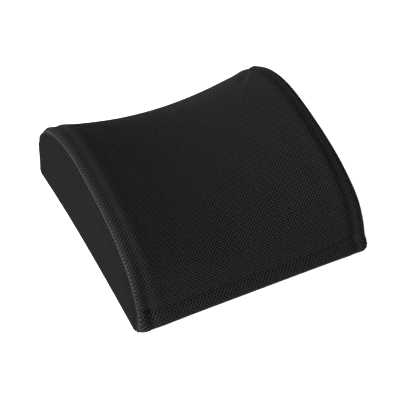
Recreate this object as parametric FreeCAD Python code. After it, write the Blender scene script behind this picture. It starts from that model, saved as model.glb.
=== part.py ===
"""Lumbar support cushion: a shaped foam core in a sewn, zipped cover with a rear strap.

The cushion lies on its flat rear face.  +Z goes through its thickness, from the rear to the
front, +X across its width, and +Y along its length, from the thin upper end to the thick lower
end, which holds the zip.  The origin is at the middle of the bounding box, on the rear face.
Every layer of cover, liner and foam comes from the same body, made smaller all round.
"""
import FreeCAD
import Part
import math
import os

Vector = FreeCAD.Vector

# ---- driving dimensions, in millimetres ------------------------------------------------
# The body, outside the cover
WIDTH = 340.0
LENGTH = 324.0
CENTRE_HEIGHTS = (41.0, 90.0, 105.0, 102.0, 54.0)  # thickness along the middle, end to end
WING_RISES = (19.0, 26.0, 36.0)  # how much thicker each side is: upper end, middle, lower end
PLAN_CORNER = 10.4  # radius of the upright corners
SIDE_ROLL = 28.0  # radius from the front down to each side
LOWER_END_ROLL = 18.0  # radius from the front down to the lower end
UPPER_END_WALL = 6.0  # upright wall left below the long roll of the upper end
SLICE_SPACING = 36.0  # between the slices that the body is lofted through, at the most

# The cover's cloths and what lies under them
MESH_THICKNESS = 3.0
SIDE_CLOTH = 1.2
REAR_CLOTH = 1.2
BINDING_THICKNESS = 0.6
BINDING_WIDTH = 9.0
LINER_THICKNESS = 0.6
LAYER_GAP = 0.25  # between one layer and the next

# Seams
SIDE_SEAM_INSET = 3.0  # the front seams' distance from the side faces
REAR_SEAM_HEIGHT = 5.0
SEAM_GAP = 1.0  # between two panels, where their thread shows
THREAD = 0.5
THREAD_PROUD = 0.3  # of a topstitched cloth

# The zip, across the lower end
ZIP_HEIGHT = 20.0  # its middle, above the rear face
ZIP_WINDOW = 12.0  # between the two panels' edges
ZIP_TOPSTITCH = 2.0  # from a panel's edge to its row of stitches
ZIP_TAPE_WIDTH = 10.0  # each half
ZIP_TAPE_THICKNESS = 0.6
ZIP_LENGTH = 280.0  # from stop to stop
ZIP_END_MARGIN = 10.0  # from the stops to the end of the window
COIL_WIDTH = 2.6  # each half
COIL_THICKNESS = 2.2
COIL_SPLIT = 1.0  # between the halves
STOP_LENGTH = 3.0
SLIDER_LENGTH = 12.5
SLIDER_WIDTH = 9.6
SLIDER_PLATE = 1.0
SLIDER_CORNER = 2.5
SLIDER_CLEARANCE = 0.2
SLIDER_FLANGE = 1.2
SLIDER_NECK = 0.6  # the post between the slider's plates
CROWN_LENGTH = 8.5
CROWN_WIDTH = 2.4
CROWN_HEIGHT = 2.7
CROWN_BAR = 0.8
TAB_LENGTH = 30.0
TAB_WIDTH = 6.4
TAB_THICKNESS = 1.2
TAB_CORNER = 2.4
TAB_EYE = 5.2  # length of the hole that the crown passes through
TAB_CLEARANCE = 0.35

# The elastic strap behind, in a shallow channel of the rear panel
STRAP_LENGTH = 296.0
STRAP_WIDTH = 40.0
STRAP_THICKNESS = 1.4
STRAP_RECESS = 2.2  # depth of the channel
STRAP_MARGIN = 2.0  # between the strap's edges and the channel's
STITCH_BOX = 26.0  # length of the sewn box at each end
STITCH_EDGE = 3.0  # from the strap's edge to the stitches

# The care label, sewn into the rear seam of the right side
LABEL_WIDTH = 25.0
LABEL_LENGTH = 34.0
LABEL_THICKNESS = 0.3
LABEL_PLACE = 95.0  # of its middle, towards the lower end

# ---- the front's shape -----------------------------------------------------------------


def height_curve(heights):
    """A smooth curve through heights spaced evenly from the upper end to the lower end."""
    places = [LENGTH * (i / (len(heights) - 1) - 0.5) for i in range(len(heights))]
    curve = Part.BSplineCurve()
    points = [Vector(0, y, z) for y, z in zip(places, heights)]
    curve.interpolate(Points=points, Parameters=places)
    return curve


CENTRE_CURVE = height_curve(CENTRE_HEIGHTS)
WING_CURVE = height_curve(WING_RISES)


def front_height(x, y):
    """Height of the front before its edges are rolled: a saddle, hollow across the width."""
    y = max(-LENGTH / 2, min(LENGTH / 2, y))
    rise = WING_CURVE.value(y).z * (2 * x / WIDTH) ** 2
    return CENTRE_CURVE.value(y).z + rise


def bend(distance, radius):
    """Angle reached along a quarter round of this radius, in radians."""
    return math.asin(max(0.0, min(1.0, distance / radius)))


def section(x, front, side, floor):
    """The closed outline of the body at x, with this much taken off its front and sides."""
    out = abs(x)
    side_angle = bend(out - (WIDTH / 2 - SIDE_ROLL), SIDE_ROLL - side)
    plan_angle = bend(out - (WIDTH / 2 - PLAN_CORNER), PLAN_CORNER - side)
    drop = SIDE_ROLL * (1 - math.cos(side_angle))
    top_inset = front * math.cos(side_angle)
    end_inset = front * math.cos(plan_angle)
    half = LENGTH / 2 - PLAN_CORNER * (1 - math.cos(plan_angle))
    upper_roll = front_height(x, -half) - drop - UPPER_END_WALL
    centres = (-half + upper_roll, half - LOWER_END_ROLL)

    def rolled(y, centre, roll):
        reach = min(1.0, abs(y - centre) / (roll - end_inset)) if roll else 0.0
        return front_height(x, y) - drop - roll + (roll - top_inset) * math.sqrt(1 - reach ** 2)

    places, parameters = [], []
    steps = 7
    for i in range(steps):  # up the upper end
        angle = math.pi / 2 * (1 - i / steps)
        y = centres[0] - (upper_roll - end_inset) * math.sin(angle)
        places.append(Vector(x, y, rolled(y, centres[0], upper_roll)))
        parameters.append(i / steps)
    spans = 10
    for i in range(spans + 1):  # along the front
        y = centres[0] + (centres[1] - centres[0]) * i / spans
        places.append(Vector(x, y, front_height(x, y) - drop - top_inset))
        parameters.append(1 + 3.0 * i / spans)
    for i in range(1, steps + 1):  # down the lower end
        y = centres[1] + (LOWER_END_ROLL - end_inset) * math.sin(math.pi / 2 * i / steps)
        places.append(Vector(x, y, rolled(y, centres[1], LOWER_END_ROLL)))
        parameters.append(4 + 0.5 * i / steps)
    top = Part.BSplineCurve()
    top.interpolate(Points=places, Parameters=parameters)
    first, last = places[0], places[-1]
    low_first, low_last = Vector(x, first.y, floor), Vector(x, last.y, floor)
    return Part.Wire([Part.makeLine(low_first, first), top.toShape(),
                      Part.makeLine(last, low_last), Part.makeLine(low_last, low_first)])


def box(xs, ys, zs):
    """A box between these pairs of values."""
    return Part.makeBox(xs[1] - xs[0], ys[1] - ys[0], zs[1] - zs[0], Vector(xs[0], ys[0], zs[0]))


def centred(length, width, zs, corner=0.0):
    """A block about the Z axis, its upright edges rounded."""
    block = box((-length / 2, length / 2), (-width / 2, width / 2), zs)
    if corner:
        upright = [e for e in block.Edges if abs(e.Vertexes[0].Z - e.Vertexes[1].Z) > 1e-6]
        block = block.makeFillet(corner, upright)
    return block


FAR = 2 * (WIDTH + LENGTH)  # beyond the body on every side


def body(front, side, rear):
    """The whole cushion as one solid, with this much taken off its front, sides and rear."""
    middle = WIDTH / 2 - SIDE_ROLL
    slices = math.ceil(middle / SLICE_SPACING)
    right = [middle * i / slices for i in range(1, slices + 1)]
    for degrees in range(15, 91, 15):
        right.append(middle + (SIDE_ROLL - side) * math.sin(math.radians(degrees)))
    stations = [-x for x in reversed(right)] + [0.0] + right
    below = 10.0
    loft = Part.makeLoft([section(x, front, side, -below) for x in stations], True, False)
    return loft.common(box((-FAR, FAR), (-FAR, FAR), (rear, FAR)))


# ---- layers, from the outside in -------------------------------------------------------

INNER_SEAM = SIDE_SEAM_INSET + SEAM_GAP / 2  # panel edges on either side of a front seam
OUTER_SEAM = SIDE_SEAM_INSET - SEAM_GAP / 2
REAR_EDGE = REAR_SEAM_HEIGHT - SEAM_GAP / 2  # panel edges below and above the rear seam
SKIRT_EDGE = REAR_SEAM_HEIGHT + SEAM_GAP / 2

BINDING_DEPTH = LAYER_GAP  # depths are below the inside of the cover
LINER_DEPTH = BINDING_DEPTH + BINDING_THICKNESS + LAYER_GAP
FOAM_DEPTH = LINER_DEPTH + LINER_THICKNESS + LAYER_GAP

TAPE_FACE = LENGTH / 2 - MESH_THICKNESS - LAYER_GAP  # Y of the tapes' outer face
TAPE_BACK = TAPE_FACE - ZIP_TAPE_THICKNESS
TAPE_LENGTH = WIDTH - 2 * PLAN_CORNER - SEAM_GAP
COIL_FACE = TAPE_FACE + COIL_THICKNESS
SLIDER_BACK = TAPE_BACK - SLIDER_CLEARANCE - SLIDER_PLATE
SLIDER_FACE = COIL_FACE + SLIDER_CLEARANCE + SLIDER_PLATE


def strap_channel(grow):
    """The space that the strap lies in, larger by this much."""
    return centred(STRAP_LENGTH + 2 * (STRAP_MARGIN + grow), STRAP_WIDTH + 2 * (STRAP_MARGIN + grow),
                   (-1.0, STRAP_RECESS + grow))


def zip_relief(grow):
    """The space behind the zip, larger by this much, where its slider runs."""
    half_length, half_width = TAPE_LENGTH / 2 + SEAM_GAP + grow, ZIP_TAPE_WIDTH + SEAM_GAP + grow
    return box((-half_length, half_length), (SLIDER_BACK - LAYER_GAP - grow, FAR),
               (ZIP_HEIGHT - half_width, ZIP_HEIGHT + half_width))


def layer(depth):
    """The body at this depth below the inside of the cover, with its channel for the strap."""
    solid = body(MESH_THICKNESS + depth, SIDE_CLOTH + depth, REAR_CLOTH + depth)
    return solid.cut(strap_channel(REAR_CLOTH + depth))


def make_foam():
    """The moulded memory foam, with relief for the strap and the zip."""
    return layer(FOAM_DEPTH).cut(zip_relief(LINER_THICKNESS + LAYER_GAP))


def make_liner():
    """The thin knitted bag that stays on the foam when the cover is washed."""
    outside = layer(LINER_DEPTH).cut(zip_relief(0.0))
    inside = layer(LINER_DEPTH + LINER_THICKNESS).cut(zip_relief(LINER_THICKNESS))
    return outside.cut(inside)


def make_cover():
    """The cover's cloth all round, before it is divided into panels."""
    return body(0.0, 0.0, 0.0).cut(strap_channel(0.0)).cut(layer(0.0))


def zip_window():
    """The slot between the mesh and the rear panel, where the zip shows."""
    half = ZIP_LENGTH / 2 + ZIP_END_MARGIN
    return box((-half, half), (0, FAR), (ZIP_HEIGHT - ZIP_WINDOW / 2, ZIP_HEIGHT + ZIP_WINDOW / 2))


def make_front_panel(cover):
    """The air mesh, over the front and down both ends."""
    half = WIDTH / 2 - INNER_SEAM
    upper = box((-half, half), (-FAR, 0), (SKIRT_EDGE, FAR))
    lower = box((-half, half), (0, FAR), (ZIP_HEIGHT + SEAM_GAP / 2, FAR))
    return cover.common(upper.fuse(lower)).cut(zip_window())


def make_side_panel(cover, hand):
    """The plain cloth of one side: hand is -1 for the left and 1 for the right."""
    xs = sorted((hand * (WIDTH / 2 - OUTER_SEAM), hand * FAR))
    return cover.common(box(xs, (-FAR, FAR), (SKIRT_EDGE, FAR)))


def make_rear_panel(cover):
    """The plain cloth behind, turned up at the lower end as far as the zip."""
    half = WIDTH / 2 - INNER_SEAM
    flat = box((-FAR, FAR), (-FAR, FAR), (-FAR, REAR_EDGE))
    turned = box((-half, half), (LENGTH / 2 - 2 * LOWER_END_ROLL, FAR), (-FAR, ZIP_HEIGHT - SEAM_GAP / 2))
    return cover.common(flat.fuse(turned)).cut(zip_window())


def make_binding(hand):
    """The bound seam allowance behind one front seam."""
    edge = hand * (WIDTH / 2 - SIDE_SEAM_INSET)
    xs = sorted((edge, edge - hand * BINDING_WIDTH))
    ring = layer(BINDING_DEPTH).cut(layer(BINDING_DEPTH + BINDING_THICKNESS))
    return ring.common(box(xs, (-FAR, FAR), (SKIRT_EDGE, FAR))).cut(zip_relief(0.0))


def make_seam_thread(cover, hand):
    """The thread of one front seam, from the rear seam over the front and down again."""
    middle = hand * (WIDTH / 2 - SIDE_SEAM_INSET)
    strip = box((middle - THREAD / 2, middle + THREAD / 2), (-FAR, FAR), (SKIRT_EDGE, FAR))
    return cover.common(strip)


def make_rear_thread(cover):
    """The thread of the rear seam, along the sides and the upper end."""
    strip = box((-FAR, FAR), (-FAR, FAR), (REAR_SEAM_HEIGHT - THREAD / 2, REAR_SEAM_HEIGHT + THREAD / 2))
    half = WIDTH / 2 - OUTER_SEAM
    turned = box((-half, half), (0, FAR), (0, ZIP_HEIGHT))
    return cover.common(strip).cut(turned)


# ---- the zip ---------------------------------------------------------------------------


def zip_strip(side, xs, ys, near, width):
    """A strip beside the zip's middle line: side is 1 above it and -1 below it."""
    zs = sorted((ZIP_HEIGHT + side * near, ZIP_HEIGHT + side * (near + width)))
    return box(xs, ys, zs)


def make_tape(side):
    """One half of the zip's woven tape."""
    return zip_strip(side, (-TAPE_LENGTH / 2, TAPE_LENGTH / 2), (TAPE_BACK, TAPE_FACE),
                     COIL_SPLIT / 2, ZIP_TAPE_WIDTH)


def make_coil(side):
    """One half of the zip's coil, as a plain bar of its outer size."""
    half = ZIP_LENGTH / 2 - STOP_LENGTH
    return zip_strip(side, (-half, half), (TAPE_FACE, COIL_FACE), COIL_SPLIT / 2, COIL_WIDTH)


def make_top_stops():
    """The pair of stops at the closed end."""
    xs = (ZIP_LENGTH / 2 - STOP_LENGTH, ZIP_LENGTH / 2)
    return Part.makeCompound([zip_strip(side, xs, (TAPE_FACE, COIL_FACE), COIL_SPLIT / 2, COIL_WIDTH)
                              for side in (-1, 1)])


def make_bottom_stop():
    """The single stop across both halves at the open end."""
    half = COIL_SPLIT / 2 + COIL_WIDTH
    return box((-ZIP_LENGTH / 2, STOP_LENGTH - ZIP_LENGTH / 2), (TAPE_FACE, COIL_FACE),
               (ZIP_HEIGHT - half, ZIP_HEIGHT + half))


SLIDER_PLACE = ZIP_LENGTH / 2 - STOP_LENGTH - SLIDER_LENGTH / 2 - TAB_CLEARANCE


def on_zip(shape):
    """Turns a shape modelled flat about the Z axis onto the slider: its Z becomes the outward Y."""
    shape = shape.copy()
    shape.rotate(Vector(0, 0, 0), Vector(1, 0, 0), -90)
    shape.translate(Vector(SLIDER_PLACE, 0, ZIP_HEIGHT))
    return shape


def make_slider():
    """The slider's two plates, the post between them and the flanges that hold the coils."""
    back = centred(SLIDER_LENGTH, SLIDER_WIDTH, (SLIDER_BACK, SLIDER_BACK + SLIDER_PLATE), SLIDER_CORNER)
    face = centred(SLIDER_LENGTH, SLIDER_WIDTH, (SLIDER_FACE - SLIDER_PLATE, SLIDER_FACE), SLIDER_CORNER)
    neck_length = SLIDER_LENGTH / 3
    neck = box((SLIDER_LENGTH / 2 - neck_length - SLIDER_PLATE, SLIDER_LENGTH / 2 - SLIDER_PLATE),
               (-SLIDER_NECK / 2, SLIDER_NECK / 2), (SLIDER_BACK, SLIDER_FACE))
    slider = back.fuse([face, neck])
    reach = SLIDER_LENGTH / 2 - SLIDER_CORNER
    for side in (-1, 1):
        ys = sorted((side * SLIDER_WIDTH / 2, side * (SLIDER_WIDTH / 2 - SLIDER_FLANGE)))
        slider = slider.fuse(box((-reach, reach), ys, (TAPE_FACE + SLIDER_CLEARANCE, SLIDER_FACE)))
    return on_zip(slider.removeSplitter())


def make_crown():
    """The bridge on the slider that holds its pull tab."""
    base = SLIDER_FACE
    outside = centred(CROWN_LENGTH, CROWN_WIDTH, (base, base + CROWN_HEIGHT))
    top = [e for e in outside.Edges
           if e.BoundBox.ZMin > base + CROWN_HEIGHT - 1e-6 and e.BoundBox.XLength < 1e-6]
    outside = outside.makeFillet(CROWN_HEIGHT / 2, top)
    inside = centred(CROWN_LENGTH - 2 * CROWN_BAR, 2 * CROWN_WIDTH, (base, base + CROWN_HEIGHT - CROWN_BAR))
    return on_zip(outside.cut(inside))


PIN_PLACE = SLIDER_FACE + TAB_CLEARANCE + TAB_THICKNESS / 2  # Y of the pull tab's axis


def make_tab():
    """The pull tab, lying flat towards the open end; its cross bar turns under the crown."""
    zs = (PIN_PLACE - TAB_THICKNESS / 2, PIN_PLACE + TAB_THICKNESS / 2)
    eye_width = CROWN_WIDTH + 2 * TAB_CLEARANCE
    tab = centred(TAB_LENGTH, TAB_WIDTH, zs, TAB_CORNER)
    tab.translate(Vector(TAB_THICKNESS / 2 - TAB_LENGTH / 2, 0, 0))
    square_end = box((-TAB_EYE, 2 * TAB_THICKNESS), (-TAB_WIDTH, TAB_WIDTH), zs)
    eye = box((-TAB_EYE, 0), (-eye_width / 2, eye_width / 2), zs)
    arms = box((-TAB_EYE, 0), (-TAB_WIDTH / 2, TAB_WIDTH / 2), zs)
    bar = Part.makeCylinder(TAB_THICKNESS / 2, TAB_WIDTH,
                            Vector(0, -TAB_WIDTH / 2, PIN_PLACE), Vector(0, 1, 0))
    return on_zip(tab.cut(square_end).fuse([arms.cut(eye), bar]).removeSplitter())


def make_topstitch(side):
    """The row of stitches that holds one panel's edge to its tape."""
    near = ZIP_WINDOW / 2 + ZIP_TOPSTITCH - THREAD / 2
    return zip_strip(side, (-TAPE_LENGTH / 2, TAPE_LENGTH / 2),
                     (LENGTH / 2 + THREAD_PROUD / 2, LENGTH / 2 + 1.5 * THREAD_PROUD), near, THREAD)


# ---- the strap and the label -----------------------------------------------------------

STRAP_BACK = STRAP_RECESS - STRAP_THICKNESS - LAYER_GAP  # height of the strap's outer face


def make_strap():
    """The wide elastic that goes round a chair's back."""
    return centred(STRAP_LENGTH, STRAP_WIDTH, (STRAP_BACK, STRAP_BACK + STRAP_THICKNESS))


def stitch_box():
    """A sewn rectangle with both its diagonals, about the Z axis."""
    length, width = STITCH_BOX, STRAP_WIDTH - 2 * STITCH_EDGE
    zs = (STRAP_BACK - THREAD_PROUD, STRAP_BACK)
    frame = centred(length, width, zs).cut(centred(length - 2 * THREAD, width - 2 * THREAD, zs))
    diagonal = math.hypot(length, width) - 2 * THREAD
    for turn in (-1, 1):
        bar = centred(diagonal, THREAD, zs)
        bar.rotate(Vector(0, 0, 0), Vector(0, 0, 1), turn * math.degrees(math.atan2(width, length)))
        frame = frame.fuse(bar)
    return frame.removeSplitter()


def make_strap_stitches():
    """The sewn box at each end of the strap."""
    boxes = []
    for hand in (-1, 1):
        sewn = stitch_box()
        sewn.translate(Vector(hand * (STRAP_LENGTH / 2 - STITCH_EDGE - STITCH_BOX / 2), 0, 0))
        boxes.append(sewn)
    return Part.makeCompound(boxes)


def make_label():
    """The blank care label, lying up the right side from the rear seam."""
    xs = (WIDTH / 2 + THREAD_PROUD / 2, WIDTH / 2 + THREAD_PROUD / 2 + LABEL_THICKNESS)
    ys = (LABEL_PLACE - LABEL_WIDTH / 2, LABEL_PLACE + LABEL_WIDTH / 2)
    return box(xs, ys, (REAR_SEAM_HEIGHT, REAR_SEAM_HEIGHT + LABEL_LENGTH))


# ---- everything, one file a node -------------------------------------------------------


def make_nodes():
    """Every node of the cushion by its name."""
    cover = make_cover()
    nodes = {
        "foam_core": make_foam(),
        "foam_liner": make_liner(),
        "front_mesh_panel": make_front_panel(cover),
        "rear_panel": make_rear_panel(cover),
        "rear_seam_thread": make_rear_thread(cover),
    }
    for name, hand in (("left", -1), ("right", 1)):
        nodes["side_panel_" + name] = make_side_panel(cover, hand)
        nodes["seam_binding_" + name] = make_binding(hand)
        nodes["seam_thread_" + name] = make_seam_thread(cover, hand)
    for name, side in (("upper", 1), ("lower", -1)):
        nodes["zip_tape_" + name] = make_tape(side)
        nodes["zip_coil_" + name] = make_coil(side)
        nodes["zip_topstitch_" + name] = make_topstitch(side)
    nodes["zip_top_stops"] = make_top_stops()
    nodes["zip_bottom_stop"] = make_bottom_stop()
    nodes["zip_slider_body"] = make_slider()
    nodes["zip_slider_crown"] = make_crown()
    nodes["zip_pull_tab"] = make_tab()
    nodes["rear_strap"] = make_strap()
    nodes["strap_stitches"] = make_strap_stitches()
    nodes["care_label"] = make_label()
    return nodes


os.makedirs("parts", exist_ok=True)
for node, shape in make_nodes().items():
    solids = shape.Solids
    assert solids and all(solid.isValid() for solid in solids), node + " didn't build"
    (solids[0] if len(solids) == 1 else Part.makeCompound(solids)).exportStep(f"parts/{node}.step")
    print(f"{node:24s} {len(solids)} solid(s) {sum(s.Volume for s in solids) / 1000:10.3f} cm3")
print("zip travel", round(2 * SLIDER_PLACE, 2), "mm; pull tab axis at",
      (round(SLIDER_PLACE, 2), round(PIN_PLACE, 2), ZIP_HEIGHT))
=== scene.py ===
# %% [markdown]
# # A lumbar support cushion
# The cushion is a block of shaped foam in a sewn cover. Its front is black air mesh, a thick
# knitted cloth full of small holes, and its sides and rear are plain black cloth. A zip across
# the lower end lets the cover come off, and an elastic strap behind holds it on a chair.
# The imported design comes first, because every piece here is measured from it.

# %% Load the frame
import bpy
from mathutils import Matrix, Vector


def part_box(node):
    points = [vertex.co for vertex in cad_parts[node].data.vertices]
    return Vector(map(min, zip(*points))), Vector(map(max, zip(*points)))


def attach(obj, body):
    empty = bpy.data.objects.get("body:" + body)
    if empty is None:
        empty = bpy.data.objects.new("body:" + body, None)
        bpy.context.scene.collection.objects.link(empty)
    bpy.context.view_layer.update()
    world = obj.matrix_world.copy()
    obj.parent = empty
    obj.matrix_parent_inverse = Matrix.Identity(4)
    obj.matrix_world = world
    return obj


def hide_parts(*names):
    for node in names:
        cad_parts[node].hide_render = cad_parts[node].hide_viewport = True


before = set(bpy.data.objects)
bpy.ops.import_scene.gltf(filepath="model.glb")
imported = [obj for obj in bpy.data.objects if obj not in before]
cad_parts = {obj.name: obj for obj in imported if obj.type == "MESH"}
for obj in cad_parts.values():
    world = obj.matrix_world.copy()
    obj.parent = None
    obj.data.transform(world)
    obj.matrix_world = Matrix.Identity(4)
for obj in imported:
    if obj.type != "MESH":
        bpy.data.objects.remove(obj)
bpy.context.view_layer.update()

# %% Modules and units
import math

import bmesh
import bpy
import numpy as np
from mathutils import Matrix, Vector
from mathutils.bvhtree import BVHTree

MM = 0.001
rng = np.random.default_rng(7)

# %% [markdown]
# ## The camera
# A long lens from well back keeps the cushion's sides nearly parallel, as in a catalogue
# picture. Its place is given by two angles and a distance, which are easier to change than a
# position, and a small roll leans the whole picture.

# %% Camera
VIEW_AZIMUTH, VIEW_ELEVATION, VIEW_ROLL = math.radians(-30.0), math.radians(46.4), math.radians(4.0)
VIEW_DISTANCE = 1.628
VIEW_OFFSET = (1.2 * MM, 12.6 * MM)  # of the aim, along the picture's right and up
LENS, SENSOR = 105.6, 36.0


def add_camera():
    """The camera, built from its three axes: right, up and back."""
    flat = math.cos(VIEW_ELEVATION)
    back = Vector((math.sin(VIEW_AZIMUTH) * flat, -math.cos(VIEW_AZIMUTH) * flat,
                   math.sin(VIEW_ELEVATION)))
    level = Vector((math.cos(VIEW_AZIMUTH), math.sin(VIEW_AZIMUTH), 0.0))
    right = level * math.cos(VIEW_ROLL) + back.cross(level) * math.sin(VIEW_ROLL)
    up = back.cross(right)
    place = back * VIEW_DISTANCE + right * VIEW_OFFSET[0] + up * VIEW_OFFSET[1]
    data = bpy.data.cameras.new("camera")
    data.lens, data.sensor_width = LENS, SENSOR
    camera = bpy.data.objects.new("camera", data)
    camera.matrix_world = Matrix.Translation(place) @ Matrix((right, up, back)).transposed().to_4x4()
    bpy.context.scene.collection.objects.link(camera)
    bpy.context.scene.camera = camera
    return camera


print("camera at", [round(v, 3) for v in add_camera().matrix_world.translation])

# %% [markdown]
# ## Shader groups
# Several finishes share the same effects, so each effect is one node group with named sockets.
# A group gives out only heights, masks and colours. The shader itself stays in each material,
# where its roughness and sheen can be set by hand.

# %% Node helpers


def new_group(name, inputs, outputs):
    """An empty shader node group with these named sockets, and its input and output nodes."""
    group = bpy.data.node_groups.new(name, "ShaderNodeTree")
    for label, kind, default in inputs:
        socket = group.interface.new_socket(label, in_out="INPUT", socket_type=kind)
        if default is not None:
            socket.default_value = default
    for label, kind in outputs:
        group.interface.new_socket(label, in_out="OUTPUT", socket_type=kind)
    return group, group.nodes.new("NodeGroupInput"), group.nodes.new("NodeGroupOutput")


def put(tree, kind, settings=None, **links):
    """A node in a tree, with its settings, and its inputs given as values or as linked sockets."""
    node = tree.nodes.new(kind)
    for name, value in (settings or {}).items():
        setattr(node, name, value)
    for name, value in links.items():
        socket = node.inputs[int(name[1:])] if name[1:].isdigit() else node.inputs[name.replace("_", " ")]
        if isinstance(value, bpy.types.NodeSocket):
            tree.links.new(value, socket)
        else:
            socket.default_value = value
    return node


def maths(tree, operation, a, b=0.0, c=0.0):
    """The result of one operation on values or sockets."""
    return put(tree, "ShaderNodeMath", {"operation": operation}, i0=a, i1=b, i2=c).outputs[0]


def blended(tree, share, a, b):
    """Colour a, going over to colour b as the share goes from 0 to 1."""
    node = put(tree, "ShaderNodeMix", {"data_type": "RGBA"}, i0=share, i6=a, i7=b)
    return node.outputs[2]


def waves(tree, value, pitch):
    """A smooth wave from 0 to 1 along a coordinate in metres, repeating at this pitch."""
    turns = maths(tree, "DIVIDE", value, pitch)
    turned = maths(tree, "MULTIPLY", turns, 2 * math.pi)
    return maths(tree, "MULTIPLY_ADD", maths(tree, "SINE", turned), 0.5, 0.5)


# %% [markdown]
# Woven cloth is two sets of yarns, one over the other in turn. Two waves at right angles make
# the yarns, and a third wave along the diagonal decides which set is on top, which gives the
# fine slanting ribs of a twill. An image would blur close up, so the weave is worked out from
# the place on the cloth.

# %% Weave group


def weave_group():
    """Height and shade of a fine twill over two coordinates of the cloth."""
    group, given, out = new_group(
        "weave", [("Along", "NodeSocketFloat", 0.0), ("Across", "NodeSocketFloat", 0.0),
                  ("Pitch", "NodeSocketFloat", 0.0008), ("Slant", "NodeSocketFloat", 1.0)],
        [("Height", "NodeSocketFloat"), ("Shade", "NodeSocketFloat")])
    along, across, pitch, slant = (given.outputs[i] for i in range(4))
    warp = waves(group, across, pitch)
    weft = waves(group, along, pitch)
    diagonal = maths(group, "MULTIPLY_ADD", along, slant, across)
    over = waves(group, diagonal, maths(group, "MULTIPLY", pitch, 3.0))
    height = put(group, "ShaderNodeMix", {"data_type": "FLOAT"}, i0=over, i2=warp, i3=weft).outputs[0]
    group.links.new(height, out.inputs["Height"])
    shade = maths(group, "MULTIPLY_ADD", maths(group, "MULTIPLY", height, over), 0.6, 0.4)
    group.links.new(shade, out.inputs["Shade"])
    return group


WEAVE = weave_group()
print("group", WEAVE.name, "has", len(WEAVE.nodes), "nodes")

# %% [markdown]
# Black cloth is never one black. Dye takes unevenly from yarn to yarn, lint and dust settle on
# what faces up, and handling rubs it. One group gives a slow drift between a cool and a warm
# black, a fine yarn-by-yarn mottle, and specks of lint as a mask.

# %% Cloth variation group


def variation_group():
    """A slow drift, a fine mottle and rare specks of lint, from the place on the cloth."""
    group, given, out = new_group(
        "cloth variation", [("Place", "NodeSocketVector", None), ("Drift Scale", "NodeSocketFloat", 9.0),
                            ("Mottle Scale", "NodeSocketFloat", 900.0)],
        [("Drift", "NodeSocketFloat"), ("Mottle", "NodeSocketFloat"), ("Lint", "NodeSocketFloat")])
    place, drift_scale, mottle_scale = (given.outputs[i] for i in range(3))
    drift = put(group, "ShaderNodeTexNoise", Vector=place, Scale=drift_scale, Detail=2.0)
    mottle = put(group, "ShaderNodeTexNoise", Vector=place, Scale=mottle_scale, Detail=3.0)
    spots = put(group, "ShaderNodeTexVoronoi", Vector=place, Scale=160.0)
    near = spots.outputs["Distance"]
    lint = put(group, "ShaderNodeMapRange", Value=near, i1=0.05, i2=0.11, i3=1.0, i4=0.0)
    group.links.new(drift.outputs[0], out.inputs["Drift"])
    group.links.new(mottle.outputs[0], out.inputs["Mottle"])
    group.links.new(lint.outputs[0], out.inputs["Lint"])
    return group


VARIATION = variation_group()
print("group", VARIATION.name, "has", len(VARIATION.nodes), "nodes")

# %% [markdown]
# Small metal and plastic parts rub against cloth and fingers. Worn paint shows in patches and
# fine scratches, so a mask is made of a coarse noise cut off sharply and a stretched noise.

# %% Wear group


def wear_group():
    """A mask of rubbed patches and scratches, and a fine height for the surface."""
    group, given, out = new_group(
        "wear", [("Place", "NodeSocketVector", None), ("Scale", "NodeSocketFloat", 300.0),
                 ("Amount", "NodeSocketFloat", 0.4)],
        [("Mask", "NodeSocketFloat"), ("Height", "NodeSocketFloat")])
    place, scale, amount = (given.outputs[i] for i in range(3))
    patches = put(group, "ShaderNodeTexNoise", Vector=place, Scale=scale, Detail=6.0, Roughness=0.7)
    long_way = put(group, "ShaderNodeMapping", Vector=place, Scale=(4.0, 1.0, 30.0))
    scratches = put(group, "ShaderNodeTexNoise", Vector=long_way.outputs[0], Scale=scale, Detail=2.0)
    half_patches = maths(group, "MULTIPLY", patches.outputs[0], 0.5)
    both = maths(group, "MULTIPLY_ADD", scratches.outputs[0], 0.5, half_patches)
    least = maths(group, "SUBTRACT", 0.75, maths(group, "MULTIPLY", amount, 0.4))
    most = maths(group, "ADD", least, 0.06)
    mask = put(group, "ShaderNodeMapRange", Value=both, i1=least, i2=most)
    group.links.new(mask.outputs[0], out.inputs["Mask"])
    group.links.new(both, out.inputs["Height"])
    return group


WEAR = wear_group()
print("group", WEAR.name, "has", len(WEAR.nodes), "nodes")

# %% [markdown]
# ## Finishes
# Each material starts the same way: a Principled shader, the place on the object, and the
# variation group. Cloth is rough and reflects little, and its loose fibres catch light at a
# glancing angle, which is what the sheen is for.

# %% Starting a material
SHEEN_ROUGHNESS = 0.45
LINT_COLOUR = (0.5, 0.5, 0.5, 1.0)


def start_material(name, roughness, specular=0.2, sheen=0.0, metallic=0.0):
    """A new material, its node tree, its shader, and its socket for the place on the object."""
    material = bpy.data.materials.new(name)
    material.use_nodes = True
    tree = material.node_tree
    shader = tree.nodes["Principled BSDF"]
    shader.inputs["Roughness"].default_value = roughness
    shader.inputs["Specular IOR Level"].default_value = specular
    shader.inputs["Sheen Weight"].default_value = sheen
    shader.inputs["Sheen Roughness"].default_value = SHEEN_ROUGHNESS
    shader.inputs["Metallic"].default_value = metallic
    place = tree.nodes.new("ShaderNodeTexCoord").outputs["Object"]
    return material, tree, shader, place


def axes_of(tree, place):
    """The place's three coordinates, in metres."""
    return put(tree, "ShaderNodeSeparateXYZ", Vector=place).outputs


def use_group(tree, group, **values):
    """The outputs of a node group placed in a material."""
    return put(tree, "ShaderNodeGroup", {"node_tree": group}, **values).outputs


def bumped(tree, shader, height, distance, strength):
    """Links a height to the shader's normal; the distance is in metres."""
    bump = put(tree, "ShaderNodeBump", Height=height, Distance=distance, Strength=strength)
    tree.links.new(bump.outputs[0], shader.inputs["Normal"])


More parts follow.
